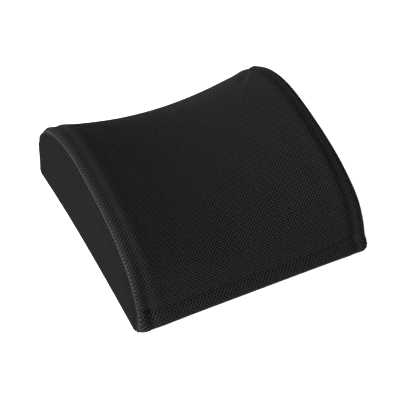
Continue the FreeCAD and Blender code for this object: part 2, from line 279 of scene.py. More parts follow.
# %% [markdown]
# The air mesh's knitted face is made in the mesh itself, hole by hole. The finish adds what is
# smaller: the yarns' own ribs, a cool black drifting to a warm one, and painted shade down in the
# holes, from an attribute that each hole's points carry.

# %% Air mesh finish
MESH_GLOSS, MESH_SHEEN = 0.05, 0.02
RIB_PITCHES = (0.5 * MM, 0.7 * MM)  # of the knit's ribs and of the loops along them


def air_mesh_finish(cool, warm, hole):
    """Black spacer mesh: yarns round holes that are painted dark as painted shade."""
    material, tree, shader, place = start_material("air mesh", 0.72, MESH_GLOSS, MESH_SHEEN)
    axes = axes_of(tree, place)
    vary = use_group(tree, VARIATION, Place=place, Drift_Scale=5.0, Mottle_Scale=1400.0)
    tint = blended(tree, vary["Drift"], cool, warm)
    yarn = blended(tree, maths(tree, "MULTIPLY", vary["Mottle"], 0.8), tint, (0.0, 0.0, 0.0, 1.0))
    # Painted shade in the holes: the attribute darkens the yarns' colour towards the hole colour.
    pit = put(tree, "ShaderNodeAttribute", {"attribute_name": "pit"}).outputs["Fac"]
    shaded = blended(tree, pit, yarn, hole)
    linted = blended(tree, maths(tree, "MULTIPLY", vary["Lint"], 0.02), shaded, LINT_COLOUR)
    tree.links.new(linted, shader.inputs["Base Color"])
    ribs = waves(tree, axes[1], RIB_PITCHES[0])
    loops = waves(tree, axes[0], RIB_PITCHES[1])
    knit = maths(tree, "MULTIPLY_ADD", ribs, loops, maths(tree, "MULTIPLY", vary["Mottle"], 0.6))
    bumped(tree, shader, knit, 0.12 * MM, 0.7)
    return material


MESH_COOL, MESH_WARM = (0.0320, 0.0320, 0.0365, 1), (0.0365, 0.0350, 0.0325, 1)
# The last colour is the painted shade at the bottom of each hole.
AIR_MESH = air_mesh_finish(MESH_COOL, MESH_WARM, (0.0008, 0.0008, 0.0010, 1))
print("finish", AIR_MESH.name)

# %% [markdown]
# The side, rear and lining cloths, the tapes and the strap are all woven, so one function
# makes them. It is told which way the yarns run and how coarse they are.

# %% Woven finishes


def woven_finish(name, light, dark, pitch, along, across, relief, roughness=0.8, specular=0.15,
                 sheen=0.05, slant=1.0, lint=0.02):
    """A woven cloth in two colours, its yarns following two axes of the object."""
    material, tree, shader, place = start_material(name, roughness, specular, sheen)
    axes = axes_of(tree, place)
    vary = use_group(tree, VARIATION, Place=place, Drift_Scale=7.0, Mottle_Scale=700.0)
    bent = maths(tree, "MULTIPLY_ADD", vary["Mottle"], 0.25 * pitch, axes[across])
    weave = use_group(tree, WEAVE, Along=axes[along], Across=bent, Pitch=pitch, Slant=slant)
    uneven = maths(tree, "MULTIPLY", weave["Shade"], maths(tree, "MULTIPLY_ADD", vary["Drift"], 0.7, 0.55))
    cloth = blended(tree, uneven, dark, light)
    linted = blended(tree, maths(tree, "MULTIPLY", vary["Lint"], lint), cloth, LINT_COLOUR)
    tree.links.new(linted, shader.inputs["Base Color"])
    height = maths(tree, "MULTIPLY_ADD", vary["Mottle"], 0.4, weave["Height"])
    bumped(tree, shader, height, relief, 0.8)
    return material


X, Y, Z = 0, 1, 2
CLOTH_LIGHT, CLOTH_DARK = (0.0072, 0.0069, 0.0069, 1), (0.0016, 0.0016, 0.0017, 1)
BAND_LIGHT, BAND_DARK = (0.030, 0.030, 0.032, 1), (0.008, 0.008, 0.009, 1)
SIDE_CLOTH = woven_finish("side cloth", CLOTH_LIGHT, CLOTH_DARK, 0.9 * MM, Y, Z, 0.10 * MM,
                          specular=0.0, sheen=0.01)
REAR_CLOTH = woven_finish("rear cloth", CLOTH_LIGHT, CLOTH_DARK, 0.9 * MM, X, Y, 0.10 * MM,
                          specular=0.0, sheen=0.01)
WEBBING = woven_finish("strap webbing", BAND_LIGHT, BAND_DARK, 1.1 * MM, X, Y, 0.2 * MM,
                       specular=0.3, slant=0.0)
TAPE_CLOTH = woven_finish("zip tape", BAND_LIGHT, BAND_DARK, 0.6 * MM, X, Z, 0.1 * MM,
                          specular=0.3, slant=2.0)
LINER_CLOTH = woven_finish("liner knit", (0.72, 0.72, 0.70, 1), (0.50, 0.50, 0.48, 1), 1.0 * MM, X, Y,
                           0.1 * MM, slant=0.0)
LABEL_CLOTH = woven_finish("label satin", (0.80, 0.80, 0.79, 1), (0.66, 0.66, 0.64, 1), 0.3 * MM, Y, Z,
                           0.03 * MM, roughness=0.5, specular=0.4, slant=0.0, lint=0.0)
print("woven:", ", ".join(m.name for m in (SIDE_CLOTH, REAR_CLOTH, WEBBING, TAPE_CLOTH)))
print("pale:", LINER_CLOTH.name, LABEL_CLOTH.name)

# %% [markdown]
# Sewing thread is two or three plies twisted together. A slanting wave across the stitch gives
# the twist, and the raised plies are painted a little brighter, a painted highlight for the
# gloss of polyester thread.

# %% Thread finish


def thread_finish(along):
    """Black polyester thread whose twist runs along one axis of the object."""
    material, tree, shader, place = start_material("thread " + "XYZ"[along], 0.55, 0.2, 0.05)
    axes = axes_of(tree, place)
    vary = use_group(tree, VARIATION, Place=place)
    others = maths(tree, "ADD", axes[(along + 1) % 3], axes[(along + 2) % 3])
    twist = waves(tree, maths(tree, "ADD", axes[along], others), 0.7 * MM)
    # Painted highlight: the raised plies of the twist are coloured brighter.
    colour = blended(tree, twist, (0.005, 0.005, 0.006, 1.0), (0.022, 0.022, 0.024, 1.0))
    worn = blended(tree, maths(tree, "MULTIPLY", vary["Mottle"], 0.4), colour, (0.01, 0.01, 0.01, 1.0))
    tree.links.new(worn, shader.inputs["Base Color"])
    bumped(tree, shader, twist, 0.1 * MM, 0.8)
    return material


THREAD_LONG = thread_finish(Y)
THREAD_WIDE = thread_finish(X)
print("threads:", THREAD_LONG.name, THREAD_WIDE.name)

# %% [markdown]
# Zip coils are drawn nylon, smooth with a low gloss. The slider, stops and pull are zinc under
# black paint, rubbed through to grey where fingers and cloth touch them. Foam is pale and full
# of small pores, each painted darker inside as painted shade.

# %% Zip and foam finishes


def hard_finish(name, base, rubbed, roughness, specular, metallic, scale, amount):
    """A hard black finish with rubbed patches."""
    material, tree, shader, place = start_material(name, roughness, specular, metallic=metallic)
    wear = use_group(tree, WEAR, Place=place, Scale=scale, Amount=amount)
    tree.links.new(blended(tree, wear["Mask"], base, rubbed), shader.inputs["Base Color"])
    rough = maths(tree, "MULTIPLY_ADD", wear["Height"], 0.3, roughness - 0.15)
    tree.links.new(rough, shader.inputs["Roughness"])
    bumped(tree, shader, wear["Height"], 0.02 * MM, 0.5)
    return material


def foam_finish():
    """Cream memory foam with fine pores, painted darker inside as painted shade."""
    material, tree, shader, place = start_material("memory foam", 0.9, specular=0.2, sheen=0.1)
    vary = use_group(tree, VARIATION, Place=place, Drift_Scale=12.0, Mottle_Scale=400.0)
    pores = put(tree, "ShaderNodeTexVoronoi", Vector=place, Scale=900.0).outputs["Distance"]
    skin = blended(tree, vary["Drift"], (0.86, 0.82, 0.68, 1.0), (0.80, 0.74, 0.58, 1.0))
    # Painted shade: the pores' hollow middles are coloured darker.
    shaded_pores = blended(tree, maths(tree, "SUBTRACT", 0.6, pores), skin, (0.55, 0.48, 0.34, 1.0))
    tree.links.new(shaded_pores, shader.inputs["Base Color"])
    bumped(tree, shader, pores, 0.3 * MM, 0.6)
    return material


ZIP_NYLON = hard_finish("zip nylon", (0.018, 0.018, 0.020, 1), (0.05, 0.05, 0.05, 1),
                        roughness=0.42, specular=0.4, metallic=0.0, scale=500.0, amount=0.25)
ZIP_METAL = hard_finish("zip metal", (0.030, 0.030, 0.034, 1), (0.32, 0.32, 0.33, 1),
                        roughness=0.38, specular=0.5, metallic=0.7, scale=260.0, amount=0.35)
FOAM = foam_finish()
print("hard and foam:", ZIP_NYLON.name, ZIP_METAL.name, FOAM.name)

# %% [markdown]
# ## Meshes from arrays
# Cloth with thousands of holes is quickest to make as arrays of points and faces. This helper
# turns them into an object that rides on a body of the frame, stands for the plain solids of
# the design, and takes the finish it is given.

# %% Mesh helper


def apply_modifiers(piece):
    """Puts what the modifiers make into the mesh itself, and takes the modifiers off."""
    bpy.context.view_layer.update()
    made = piece.evaluated_get(bpy.context.evaluated_depsgraph_get())
    mesh = bpy.data.meshes.new_from_object(made)
    mesh.name = piece.data.name
    piece.modifiers.clear()
    piece.data = mesh


def thicken(piece, thickness):
    """Gives a sheet a second skin inside its first."""
    solid = piece.modifiers.new("thickness", "SOLIDIFY")
    solid.thickness, solid.offset = thickness, -1.0
    apply_modifiers(piece)


def add_piece(name, points, faces, material, replaces, slot, outward=None, thickness=0.0):
    """A smooth mesh object from points and faces, riding on the cushion.

    With an outward direction its middle face is turned that way, and with a thickness it gets
    a second skin that far inside it.
    """
    mesh = bpy.data.meshes.new(name)
    mesh.from_pydata([tuple(p) for p in points], [], [tuple(int(i) for i in f) for f in faces])
    mesh.validate()
    mesh.polygons.foreach_set("use_smooth", [True] * len(mesh.polygons))
    mesh.materials.append(material)
    mesh.update()
    piece = bpy.data.objects.new(name, mesh)
    bpy.context.scene.collection.objects.link(piece)
    middle = mesh.polygons[len(mesh.polygons) // 2].normal
    if outward and middle.dot(Vector(outward)) < 0:
        mesh.flip_normals()
    if thickness:
        thicken(piece, thickness)
    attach(piece, "cushion")
    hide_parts(replaces)
    print(f"{name}: {len(piece.data.vertices)} points, {len(piece.data.polygons)} faces")
    return piece


def grid_faces(rows, columns, closed=False, start=0):
    """Quads between the points of a grid, which may close round in its columns."""
    last = columns if closed else columns - 1
    r, c = np.meshgrid(np.arange(rows - 1), np.arange(last), indexing="ij")
    r, c = r.ravel(), c.ravel()
    n = (c + 1) % columns
    here, below = r * columns + start, (r + 1) * columns + start
    return np.stack([here + c, here + n, below + n, below + c], 1)


# %% [markdown]
# ## The cover's shape, measured from the design
# Rays shot at the design's panels from outside give the cover's outer surface. The rays go
# round each slice across the width, from the floor at the upper end, over the front and down the
# lower end. The hits are then spaced evenly along each slice, so that cloth laid out on the
# grid isn't squeezed anywhere.

# %% Rays at the cover
PANELS = ("front_mesh_panel", "side_panel_left", "side_panel_right", "rear_panel")


def tree_of(names):
    """A ray-casting tree over these nodes of the design."""
    points, faces = [], []
    for name in names:
        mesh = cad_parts[name].data
        start = len(points)
        points += [v.co.copy() for v in mesh.vertices]
        faces += [[start + i for i in p.vertices] for p in mesh.polygons]
    return BVHTree.FromPolygons(points, faces)


cover_tree = tree_of(PANELS)
low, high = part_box("front_mesh_panel")
HALF_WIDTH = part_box("side_panel_right")[1].x
HALF_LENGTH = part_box("rear_panel")[1].y
SEAM_X = high.x  # the mesh's edge at each front seam
SKIRT_Z = low.z  # the mesh's lower edge at the upper end
ZIP_Z = (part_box("zip_tape_upper")[0].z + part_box("zip_tape_lower")[1].z) / 2
HUB_Z = 30 * MM  # the height that the rays of a slice point at
RAY_LENGTH = 0.4
print("half width and half length, mm:", round(HALF_WIDTH / MM, 1), round(HALF_LENGTH / MM, 1))


def outline_hits(slice_at, axis, first, last, count=400):
    """The cover's outer surface along a slice, between two points (across, up) of its outline."""
    start = math.atan2(first[1] - HUB_Z, first[0])
    end = math.atan2(last[1] - HUB_Z, last[0])
    if start < end:
        start += 2 * math.pi
    found = []
    for angle in np.linspace(start, end, count):
        way = [0.0, 0.0, math.sin(angle)]
        way[axis] = math.cos(angle)
        centre = [slice_at, slice_at, HUB_Z]
        centre[axis] = 0.0
        start_point = Vector(centre) + Vector(way) * RAY_LENGTH
        hit = cover_tree.ray_cast(start_point, -Vector(way), RAY_LENGTH)[0]
        if hit is not None:
            found.append(hit)
    return np.array(found)


def along(path):
    """Distance along a path at each of its points."""
    return np.concatenate([[0.0], np.cumsum(np.linalg.norm(np.diff(path, axis=0), axis=1))])


def at_shares(path, shares):
    """Points at these shares of a path's length."""
    length = along(path)
    at = np.asarray(shares) * length[-1]
    return np.stack([np.interp(at, length, path[:, k]) for k in range(3)], 1)


def evenly(path, count):
    """A path's points, spaced evenly."""
    return at_shares(path, np.linspace(0, 1, count))


def unit(vectors):
    """Vectors made one long."""
    return vectors / np.maximum(np.linalg.norm(vectors, axis=-1, keepdims=True), 1e-12)


def at_share(share, values):
    """Values given at even steps from 0 to 1, read at these shares."""
    return np.interp(share, np.linspace(0, 1, len(values)), values)


def lattice(down, across):
    """Two grids of numbers, each direction given by its first and last number and its count."""
    return np.meshgrid(np.linspace(*down), np.linspace(*across), indexing="ij")


def smoothed(grid, passes):
    """A grid of points with the design's facets averaged away; its edges follow themselves only."""
    for _ in range(passes):
        middle = grid.copy()
        middle[1:-1] = (grid[:-2] + 2 * grid[1:-1] + grid[2:]) / 4
        middle[:, 1:-1] = (middle[:, :-2] + 2 * middle[:, 1:-1] + middle[:, 2:]) / 4
        middle[0], middle[-1] = grid[0], grid[-1]
        grid = middle
    return grid


# %% [markdown]
# A grid of some hundred points a side is enough for the shape, but the holes, stitches and
# edges need points in between. This reads a smooth surface through any grid: each point is
# blended from the four nearest rows and columns, which bends evenly through the grid's points.

# %% Reading a smooth surface


def read_weights(share, count):
    """The four nearest lines of a grid and their weights, at these shares of the way across it."""
    at = np.clip(share, 0.0, 1.0) * (count - 1)
    first = np.clip(np.floor(at).astype(int), 0, count - 2)
    f = at - first
    near = np.clip(first[..., None] + np.array([-1, 0, 1, 2]), 0, count - 1)
    weights = np.stack([-f + 2 * f**2 - f**3, 2 - 5 * f**2 + 3 * f**3,
                        f + 4 * f**2 - 3 * f**3, f**3 - f**2], -1) / 2
    return near, weights


def read(grid, down, across):
    """Points of the smooth surface through a grid, at shares of the way down and across it."""
    down, across = np.broadcast_arrays(np.asarray(down, float), np.asarray(across, float))
    near_down, weight_down = read_weights(down, grid.shape[0])
    near_across, weight_across = read_weights(across, grid.shape[1])
    corners = grid[near_down[..., :, None], near_across[..., None, :]]
    return np.einsum("...i,...j,...ijk->...k", weight_down, weight_across, corners)


def normals_of(grid, outward):
    """Unit normals at a grid's points, on the side that the outward direction is on."""
    down, across = np.gradient(grid, axis=0), np.gradient(grid, axis=1)
    normal = unit(np.cross(across, down))
    middle = normal[grid.shape[0] // 2, grid.shape[1] // 2]
    return normal if middle @ np.array(outward) > 0 else -normal


def hump(distance, centre, width):
    """A smooth hump of height 1 at a distance, this wide."""
    return np.exp(-((distance - centre) / width) ** 2)


# %% [markdown]
# ## The cushion's lower edge
# The design has a square edge where its walls meet the flat rear. Foam in a cloth cover can't
# keep such an edge: the cover swells a little above it and curls in under it. The same shift,
# outward or inward by height, is given to every panel's points, so they still meet.

# %% The curl at the lower edge
PLAN_CORNER = 10.4 * MM
CURL = {"upper": 13.0 * MM, "side": 6.0 * MM, "lower": 5.0 * MM}  # radius of the edge itself
END_SWELL, END_CORNER_SWELL = 7.5 * MM, 4.0 * MM  # of the upper end: everywhere, and more at its corners
END_SWELL_HEIGHT, END_SWELL_SPREAD = 17 * MM, 13 * MM
SIDE_SWELL = (2.0 * MM, 0.3 * MM, 4.5 * MM)  # of the sides: at the upper end, the middle, the lower end


def swelling(points, to_upper, to_side):
    """How far the foam pushes the walls out, from how much a point faces the upper end or a side."""
    place = points[..., 1] / HALF_LENGTH
    across = (points[..., 0] / HALF_WIDTH) ** 4
    ends = (SIDE_SWELL[0] - SIDE_SWELL[1], SIDE_SWELL[2] - SIDE_SWELL[1])
    side = SIDE_SWELL[1] + np.where(place < 0, ends[0], ends[1]) * place ** 2
    bulge = hump(points[..., 2], END_SWELL_HEIGHT, END_SWELL_SPREAD)
    return side * to_side + (END_SWELL + END_CORNER_SWELL * across) * bulge * to_upper


def curled(points):
    """Points of the cover with the lower edge rounded and the walls swollen."""
    points = np.array(points, float)
    half = np.array([HALF_WIDTH - PLAN_CORNER, HALF_LENGTH - PLAN_CORNER])
    out = points[..., :2] - np.clip(points[..., :2], -half, half)
    size = np.linalg.norm(out, axis=-1, keepdims=True)
    normal = np.where(size > 1e-6, out / np.maximum(size, 1e-9), 0.0)
    at_wall = np.clip(size[..., 0] / PLAN_CORNER, 0, 1)  # nothing moves away from the walls
    to_side = normal[..., 0] ** 2
    to_upper = np.where(normal[..., 1] < 0, normal[..., 1] ** 2, 0)
    to_lower = np.where(normal[..., 1] > 0, normal[..., 1] ** 2, 0)
    radius = CURL["upper"] * to_upper + CURL["side"] * to_side + CURL["lower"] * to_lower + 1e-6
    lack = 1 - np.minimum(np.clip(points[..., 2], 0, None) / radius, 1.0)
    curl = radius * (1 - np.sqrt(np.maximum(0.0, 1 - lack ** 2)))
    shift = swelling(points, to_upper, to_side) * at_wall - curl
    points[..., :2] += normal * shift[..., None]
    return points


# %% [markdown]
# The front panel's lower edge is cut back for the zip: it opens in a long window that closes
# again before each side seam. The panel is measured in slices from end to end, closer together
# on the steep wings, so that the grid's cells are nearly square on the cloth itself.

# %% The front's grid
ROWS, COLUMNS = 121, 97
SADDLE_Y = 20 * MM  # where the front is highest
WINDOW_HALF_Z = 6 * MM
WINDOW_HALF_X, WINDOW_CLOSING = 150 * MM, 6 * MM  # where the window ends, and how far its closing takes
SEAM_HALF_GAP = 0.5 * MM
EDGE_STEP = 0.2 * MM  # a slice stands this far inside an edge


def window_edge(x, side):
    """Height of the panel's edge at the zip: side is 1 for the mesh and -1 for the rear cloth."""
    closed = np.clip((np.abs(x) - WINDOW_HALF_X) / WINDOW_CLOSING, 0, 1)
    return ZIP_Z + side * (WINDOW_HALF_Z + (SEAM_HALF_GAP - WINDOW_HALF_Z) * closed)


def front_grid():
    """Points of the front panel: rows from the upper end to the lower, columns left to right."""
    across = []
    for x in np.linspace(-SEAM_X, SEAM_X, 600):
        hit = cover_tree.ray_cast(Vector((x, SADDLE_Y, RAY_LENGTH)), Vector((0, 0, -1)), RAY_LENGTH)[0]
        across.append((x, 0.0, hit.z))
    columns = evenly(np.array(across), COLUMNS)[:, 0]
    slices = []
    for x in columns:
        inside = max(-SEAM_X + EDGE_STEP, min(SEAM_X - EDGE_STEP, x))
        last = (HALF_LENGTH, float(window_edge(x, 1)))
        path = outline_hits(inside, 1, (-HALF_LENGTH, SKIRT_Z + EDGE_STEP), last)
        slices.append(evenly(path, ROWS))
    return smoothed(np.stack(slices, 1), 4)


front_base = front_grid()
half_down, half_across = ROWS // 2, COLUMNS // 2
beside = (front_base[half_down, half_across + 1], front_base[half_down + 1, half_across])
spacing = [np.linalg.norm(front_base[half_down, half_across] - other) / MM for other in beside]
print("front grid", front_base.shape, "spacing, mm:", [round(float(s), 2) for s in spacing])

# %% [markdown]
# ## Pressing the cover out by simulation
# A cover is sewn a little smaller than its foam, so the foam presses it out between its seams.
# Blender's cloth does this well: the panel's edges are held where the seams are, and a
# pressure pushes from behind. The panel is stopped after a short way, because real foam has a
# size. A hand-made bulge would be quicker, but it wouldn't follow the panel's own shape.

# %% Cloth simulation
PRESSURE, PRESS_LIMIT, PRESS_FRAMES = 3.0, 1.5 * MM, 20


def pressed_out(grid, outward):
    """A panel's grid as cloth held at its edges and pressed outward, moved no further than a limit."""
    rows, columns = grid.shape[:2]
    mesh = bpy.data.meshes.new("pressed")
    faces = [tuple(int(i) for i in f) for f in grid_faces(rows, columns)]
    mesh.from_pydata([tuple(p) for p in grid.reshape(-1, 3)], [], faces)
    first = mesh.polygons[(rows // 2) * (columns - 1) + columns // 2].normal
    if first.dot(Vector(outward)) < 0:
        mesh.flip_normals()
    cloth_object = bpy.data.objects.new("pressed", mesh)
    bpy.context.scene.collection.objects.link(cloth_object)
    held = np.zeros((rows, columns), bool)
    held[[0, -1]] = True
    held[:, [0, -1]] = True
    group = cloth_object.vertex_groups.new(name="held")
    group.add([int(i) for i in np.flatnonzero(held.ravel())], 1.0, "REPLACE")
    cloth = cloth_object.modifiers.new("cloth", "CLOTH")
    settings = cloth.settings
    settings.quality = 5
    settings.mass = 0.3
    settings.tension_stiffness = settings.compression_stiffness = 40
    settings.bending_stiffness = 2
    settings.vertex_group_mass = "held"
    settings.effector_weights.gravity = 0
    settings.use_pressure = True
    settings.uniform_pressure_force = PRESSURE
    cloth.collision_settings.use_collision = False
    cloth.point_cache.frame_start, cloth.point_cache.frame_end = 1, PRESS_FRAMES
    for number in range(1, PRESS_FRAMES + 1):
        bpy.context.scene.frame_set(number)
    made = cloth_object.evaluated_get(bpy.context.evaluated_depsgraph_get()).to_mesh()
    found = np.empty(rows * columns * 3)
    made.vertices.foreach_get("co", found)
    bpy.data.objects.remove(cloth_object)
    bpy.data.meshes.remove(mesh)
    bpy.context.scene.frame_set(1)
    moved = found.reshape(grid.shape) - grid
    size = np.linalg.norm(moved, axis=-1, keepdims=True)
    shorter = PRESS_LIMIT * np.tanh(size / PRESS_LIMIT) / np.maximum(size, 1e-9)
    kept = np.where(size > 1e-9, shorter, 1.0)
    print("pressed out by", round(float(size.max()) / MM, 2), "mm, kept to",
          round(float((size * kept).max()) / MM, 2), "mm")
    return grid + moved * kept


ZIP_SHARE = 0.08  # of the panel's length: by the zip it stays flat
from_zip = np.clip((1 - np.linspace(0, 1, ROWS)) / ZIP_SHARE, 0, 1)[:, None, None]
front_pressed = front_base + (pressed_out(front_base, (0, 0, 1)) - front_base) * from_zip
front_shape = curled(front_pressed)
front_normals = normals_of(front_shape, (0, 0, 1))

# %% [markdown]
# ## Folds that the sewing makes
# Along each front seam the mesh and the side cloth are turned under and sewn down, so a firm
# ridge as wide as the seam allowance runs beside the seam, with a shallow valley beyond it. At
# the upper end the mesh creases where it turns from the front down to the end.

# %% Folds of the front panel
row_lengths = np.array([along(row)[-1] for row in front_shape])
column_lengths = np.array([along(front_shape[:, c])[-1] for c in range(COLUMNS)])
FRONT_WIDTH, FRONT_LENGTH = float(row_lengths.mean()), float(column_lengths.mean())


def front_distances(down, across):
    """Distances on the cloth: from the nearer front seam, the upper edge and the edge at the zip."""
    width, length = at_share(down, row_lengths), at_share(across, column_lengths)
    return np.minimum(across, 1 - across) * width, down * length, (1 - down) * length


SEAM_ROW = 2.2 * MM  # the stitches' distance from the seam
ZIP_ROW = 2.0 * MM  # the topstitches' distance from the edge at the zip
SEAM_FOLDS = ((1.3, 7.5 * MM, 4.6 * MM), (-1.8, 19 * MM, 6 * MM))  # height in mm, distance and width
SEAM_GROOVES = ((-1.1, 0.0, 0.8 * MM), (-0.45, SEAM_ROW, 0.5 * MM))
ZIP_FOLDS = ((0.7, 4.5 * MM, 3 * MM), (-0.5, ZIP_ROW, 0.5 * MM), (-0.5, 9 * MM, 2 * MM))
ZIP_HEM_END = 0.86  # of the panel's half width: beyond this the zip's folds fade out
CREASE_FROM_EDGE, CREASE_RISE, CREASE_REACH = 24 * MM, 11 * MM, 25 * MM  # it rises towards the corners


def folds(distance, shapes):
    """The sum of some humps, each given by its height, its distance and its width."""
    return sum(height * hump(distance, centre, width) for height, centre, width in shapes)


def front_relief(down, across):
    """How far the sewing raises or sinks the mesh."""
    side, upper, lower = front_distances(down, across)
    fade = (1 - hump(upper, 0, 6 * MM)) * np.clip((lower - 4 * MM) / (15 * MM), 0, 1)
    crease_at = CREASE_FROM_EDGE + CREASE_RISE * np.exp(-side / CREASE_REACH)
    crease = folds(upper - crease_at, ((-2.6, 0.0, 3.2 * MM), (0.9, 11 * MM, 6 * MM)))
    strip = 1.2 * hump(upper, 0.5 * crease_at, 6 * MM)
    middle = np.clip(side / (20 * MM), 0, 1)
    zip_part = np.clip((ZIP_HEM_END - np.abs(2 * across - 1)) / 0.05, 0, 1)
    beside_seam = folds(side, SEAM_FOLDS) * fade + folds(side, SEAM_GROOVES)
    return (beside_seam + (crease + strip) * middle + folds(lower, ZIP_FOLDS) * zip_part) * MM


def front_points(down, across, lift=0.0):
    """Points of the finished front surface, raised by this much."""
    normal = unit(read(front_normals, down, across))
    raised = front_relief(down, across) + lift
    return read(front_shape, down, across) + normal * np.asarray(raised)[..., None], normal


print("front panel, mm:", round(FRONT_WIDTH / MM), "x", round(FRONT_LENGTH / MM))

# %% [markdown]
# ## The air mesh, hole by hole
# Spacer mesh is knitted so that its face is a net of rounded ribs round rows of holes, each
# row shifted half a hole from the last. A bump map would go flat at the outline and in a
# close look, so every hole is real: six points on its rim and one at the bottom, in a
# diamond-shaped cell whose four corners are shared with its neighbours. Near the seams the
# holes close, because the needle crushes the mesh there, and a closed cell is one plain face.

# %% Cells of the air mesh
HOLE_PITCH, ROW_PITCH = 5.2 * MM, 2.32 * MM
HOLE_ACROSS, HOLE_DOWN = 1.60 * MM, 1.36 * MM  # half sizes of a hole
RIM_DROP, HOLE_DEPTH = 0.45 * MM, 2.2 * MM
RIM_SHADE, CRUSHED_SHADE = 0.85, 0.55  # how much of a hole's painted shade its rim and the crushed mesh get
SIZE_SPREAD, PLACE_SPREAD = 0.10, 0.03  # of the holes, as shares of their size and pitch
HEM_SHADE = 0.6  # the painted shade of the turned-in edge
MESH_THICKNESS = 3.0 * MM


def net_corners(many, rows):
    """Shares down and across of the net's knots, one line of them for each row of holes."""
    line, column = np.meshgrid(np.arange(-1, rows + 2), np.arange(many + 2), indexing="ij")
    return line / rows, (column - 0.5 + 0.5 * (line % 2)) / many


def net_cells(many, rows):
    """Row, column and the four corner numbers (right, top, left, bottom) of every cell."""
    row, column = (a.ravel() for a in np.meshgrid(np.arange(rows + 1), np.arange(many + 1), indexing="ij"))
    inside = column + 0.5 * (row % 2) <= many
    row, column = row[inside], column[inside]
    wide = many + 2
    shifted = column + row % 2
    own = (row + 1) * wide
    corners = np.stack([own + column + 1, own + wide + shifted, own + column, own - wide + shifted], 1)
    return row, column, corners


def net_holes(row, column, many, rows):
    """Shares down and across of each hole's rim and middle; no two holes are quite the same."""
    middle_across, middle_down = (column + 0.5 * (row % 2)) / many, row / rows
    size = 1 + SIZE_SPREAD * (rng.random(len(row)) - 0.5)
    wander = PLACE_SPREAD * (rng.random((len(row), 2)) - 0.5)
    angles = np.radians(np.arange(0, 360, 60))
    out_across = np.cos(angles) * size[:, None] * HOLE_ACROSS / HOLE_PITCH + wander[:, :1]
    out_down = np.sin(angles) * size[:, None] * HOLE_DOWN / ROW_PITCH + wander[:, 1:]
    return (middle_down[:, None] + out_down / rows, middle_across[:, None] + out_across / many,
            middle_down, middle_across)


# %% [markdown]
# Within a few millimetres of an edge the holes close. How open a hole is follows from its
# distance to the nearest edge, and an open hole gets six ribs' faces round it and six sloping
# walls down to its bottom.

# %% Opening and closing the holes
CLOSED_WIDTH, OPENING_WIDTH = 2.6 * MM, 1.5 * MM  # from an edge: closed, then opening


def open_holes(down, across):
    """How open the holes are: closed within a few millimetres of the panel's edges."""
    side, upper, lower = front_distances(down, across)
    nearest = np.minimum(np.minimum(side, lower), upper)
    return np.clip((nearest - CLOSED_WIDTH) / OPENING_WIDTH, 0, 1)


def net_faces(corners, rim, tip, is_open):
    """Faces of the net: ribs round each open hole and its sloping wall, or one face if closed."""
    right, top, left, bottom = corners[is_open].T
    rim, tip = rim[is_open], tip[is_open]
    ribs = [(right, top, rim[:, 1], rim[:, 0]), (top, left, rim[:, 3], rim[:, 2]),
            (left, bottom, rim[:, 4], rim[:, 3]), (bottom, right, rim[:, 0], rim[:, 5]),
            (top, rim[:, 2], rim[:, 1]), (bottom, rim[:, 5], rim[:, 4])]
    walls = [(rim[:, k], rim[:, (k + 1) % 6], tip) for k in range(6)]
    plain = list(corners[~is_open])
    return plain + [face for faces in ribs + walls for face in np.stack(faces, 1)]


# %% [markdown]
# The panel's edges are turned in by the mesh's own thickness, so that it looks thick where it
# ends at the zip. The turned edge uses the net's own outermost knots, which leaves no slit.

# %% Building the air mesh


def tidy_mesh(piece, distance):
    """Merges points closer than this, and takes away faces and edges with no size."""
    work = bmesh.new()
    work.from_mesh(piece.data)
    bmesh.ops.remove_doubles(work, verts=work.verts, dist=distance)
    bmesh.ops.dissolve_degenerate(work, dist=distance / 2, edges=work.edges)
    loose = [v for v in work.verts if not v.link_faces]
    bmesh.ops.delete(work, geom=loose, context="VERTS")
    bmesh.ops.recalc_face_normals(work, faces=work.faces)
    work.to_mesh(piece.data)
    work.free()
    piece.data.update()


def edge_loop(down, across):
    """Numbers of the outermost knots, in order round the panel."""
    top, foot = np.flatnonzero(down == 0), np.flatnonzero(down == 1)
    left, right = np.flatnonzero(across == 0), np.flatnonzero(across == 1)
    return np.concatenate([top[np.argsort(across[top])], right[np.argsort(down[right])],
                           foot[np.argsort(-across[foot])], left[np.argsort(-down[left])]])


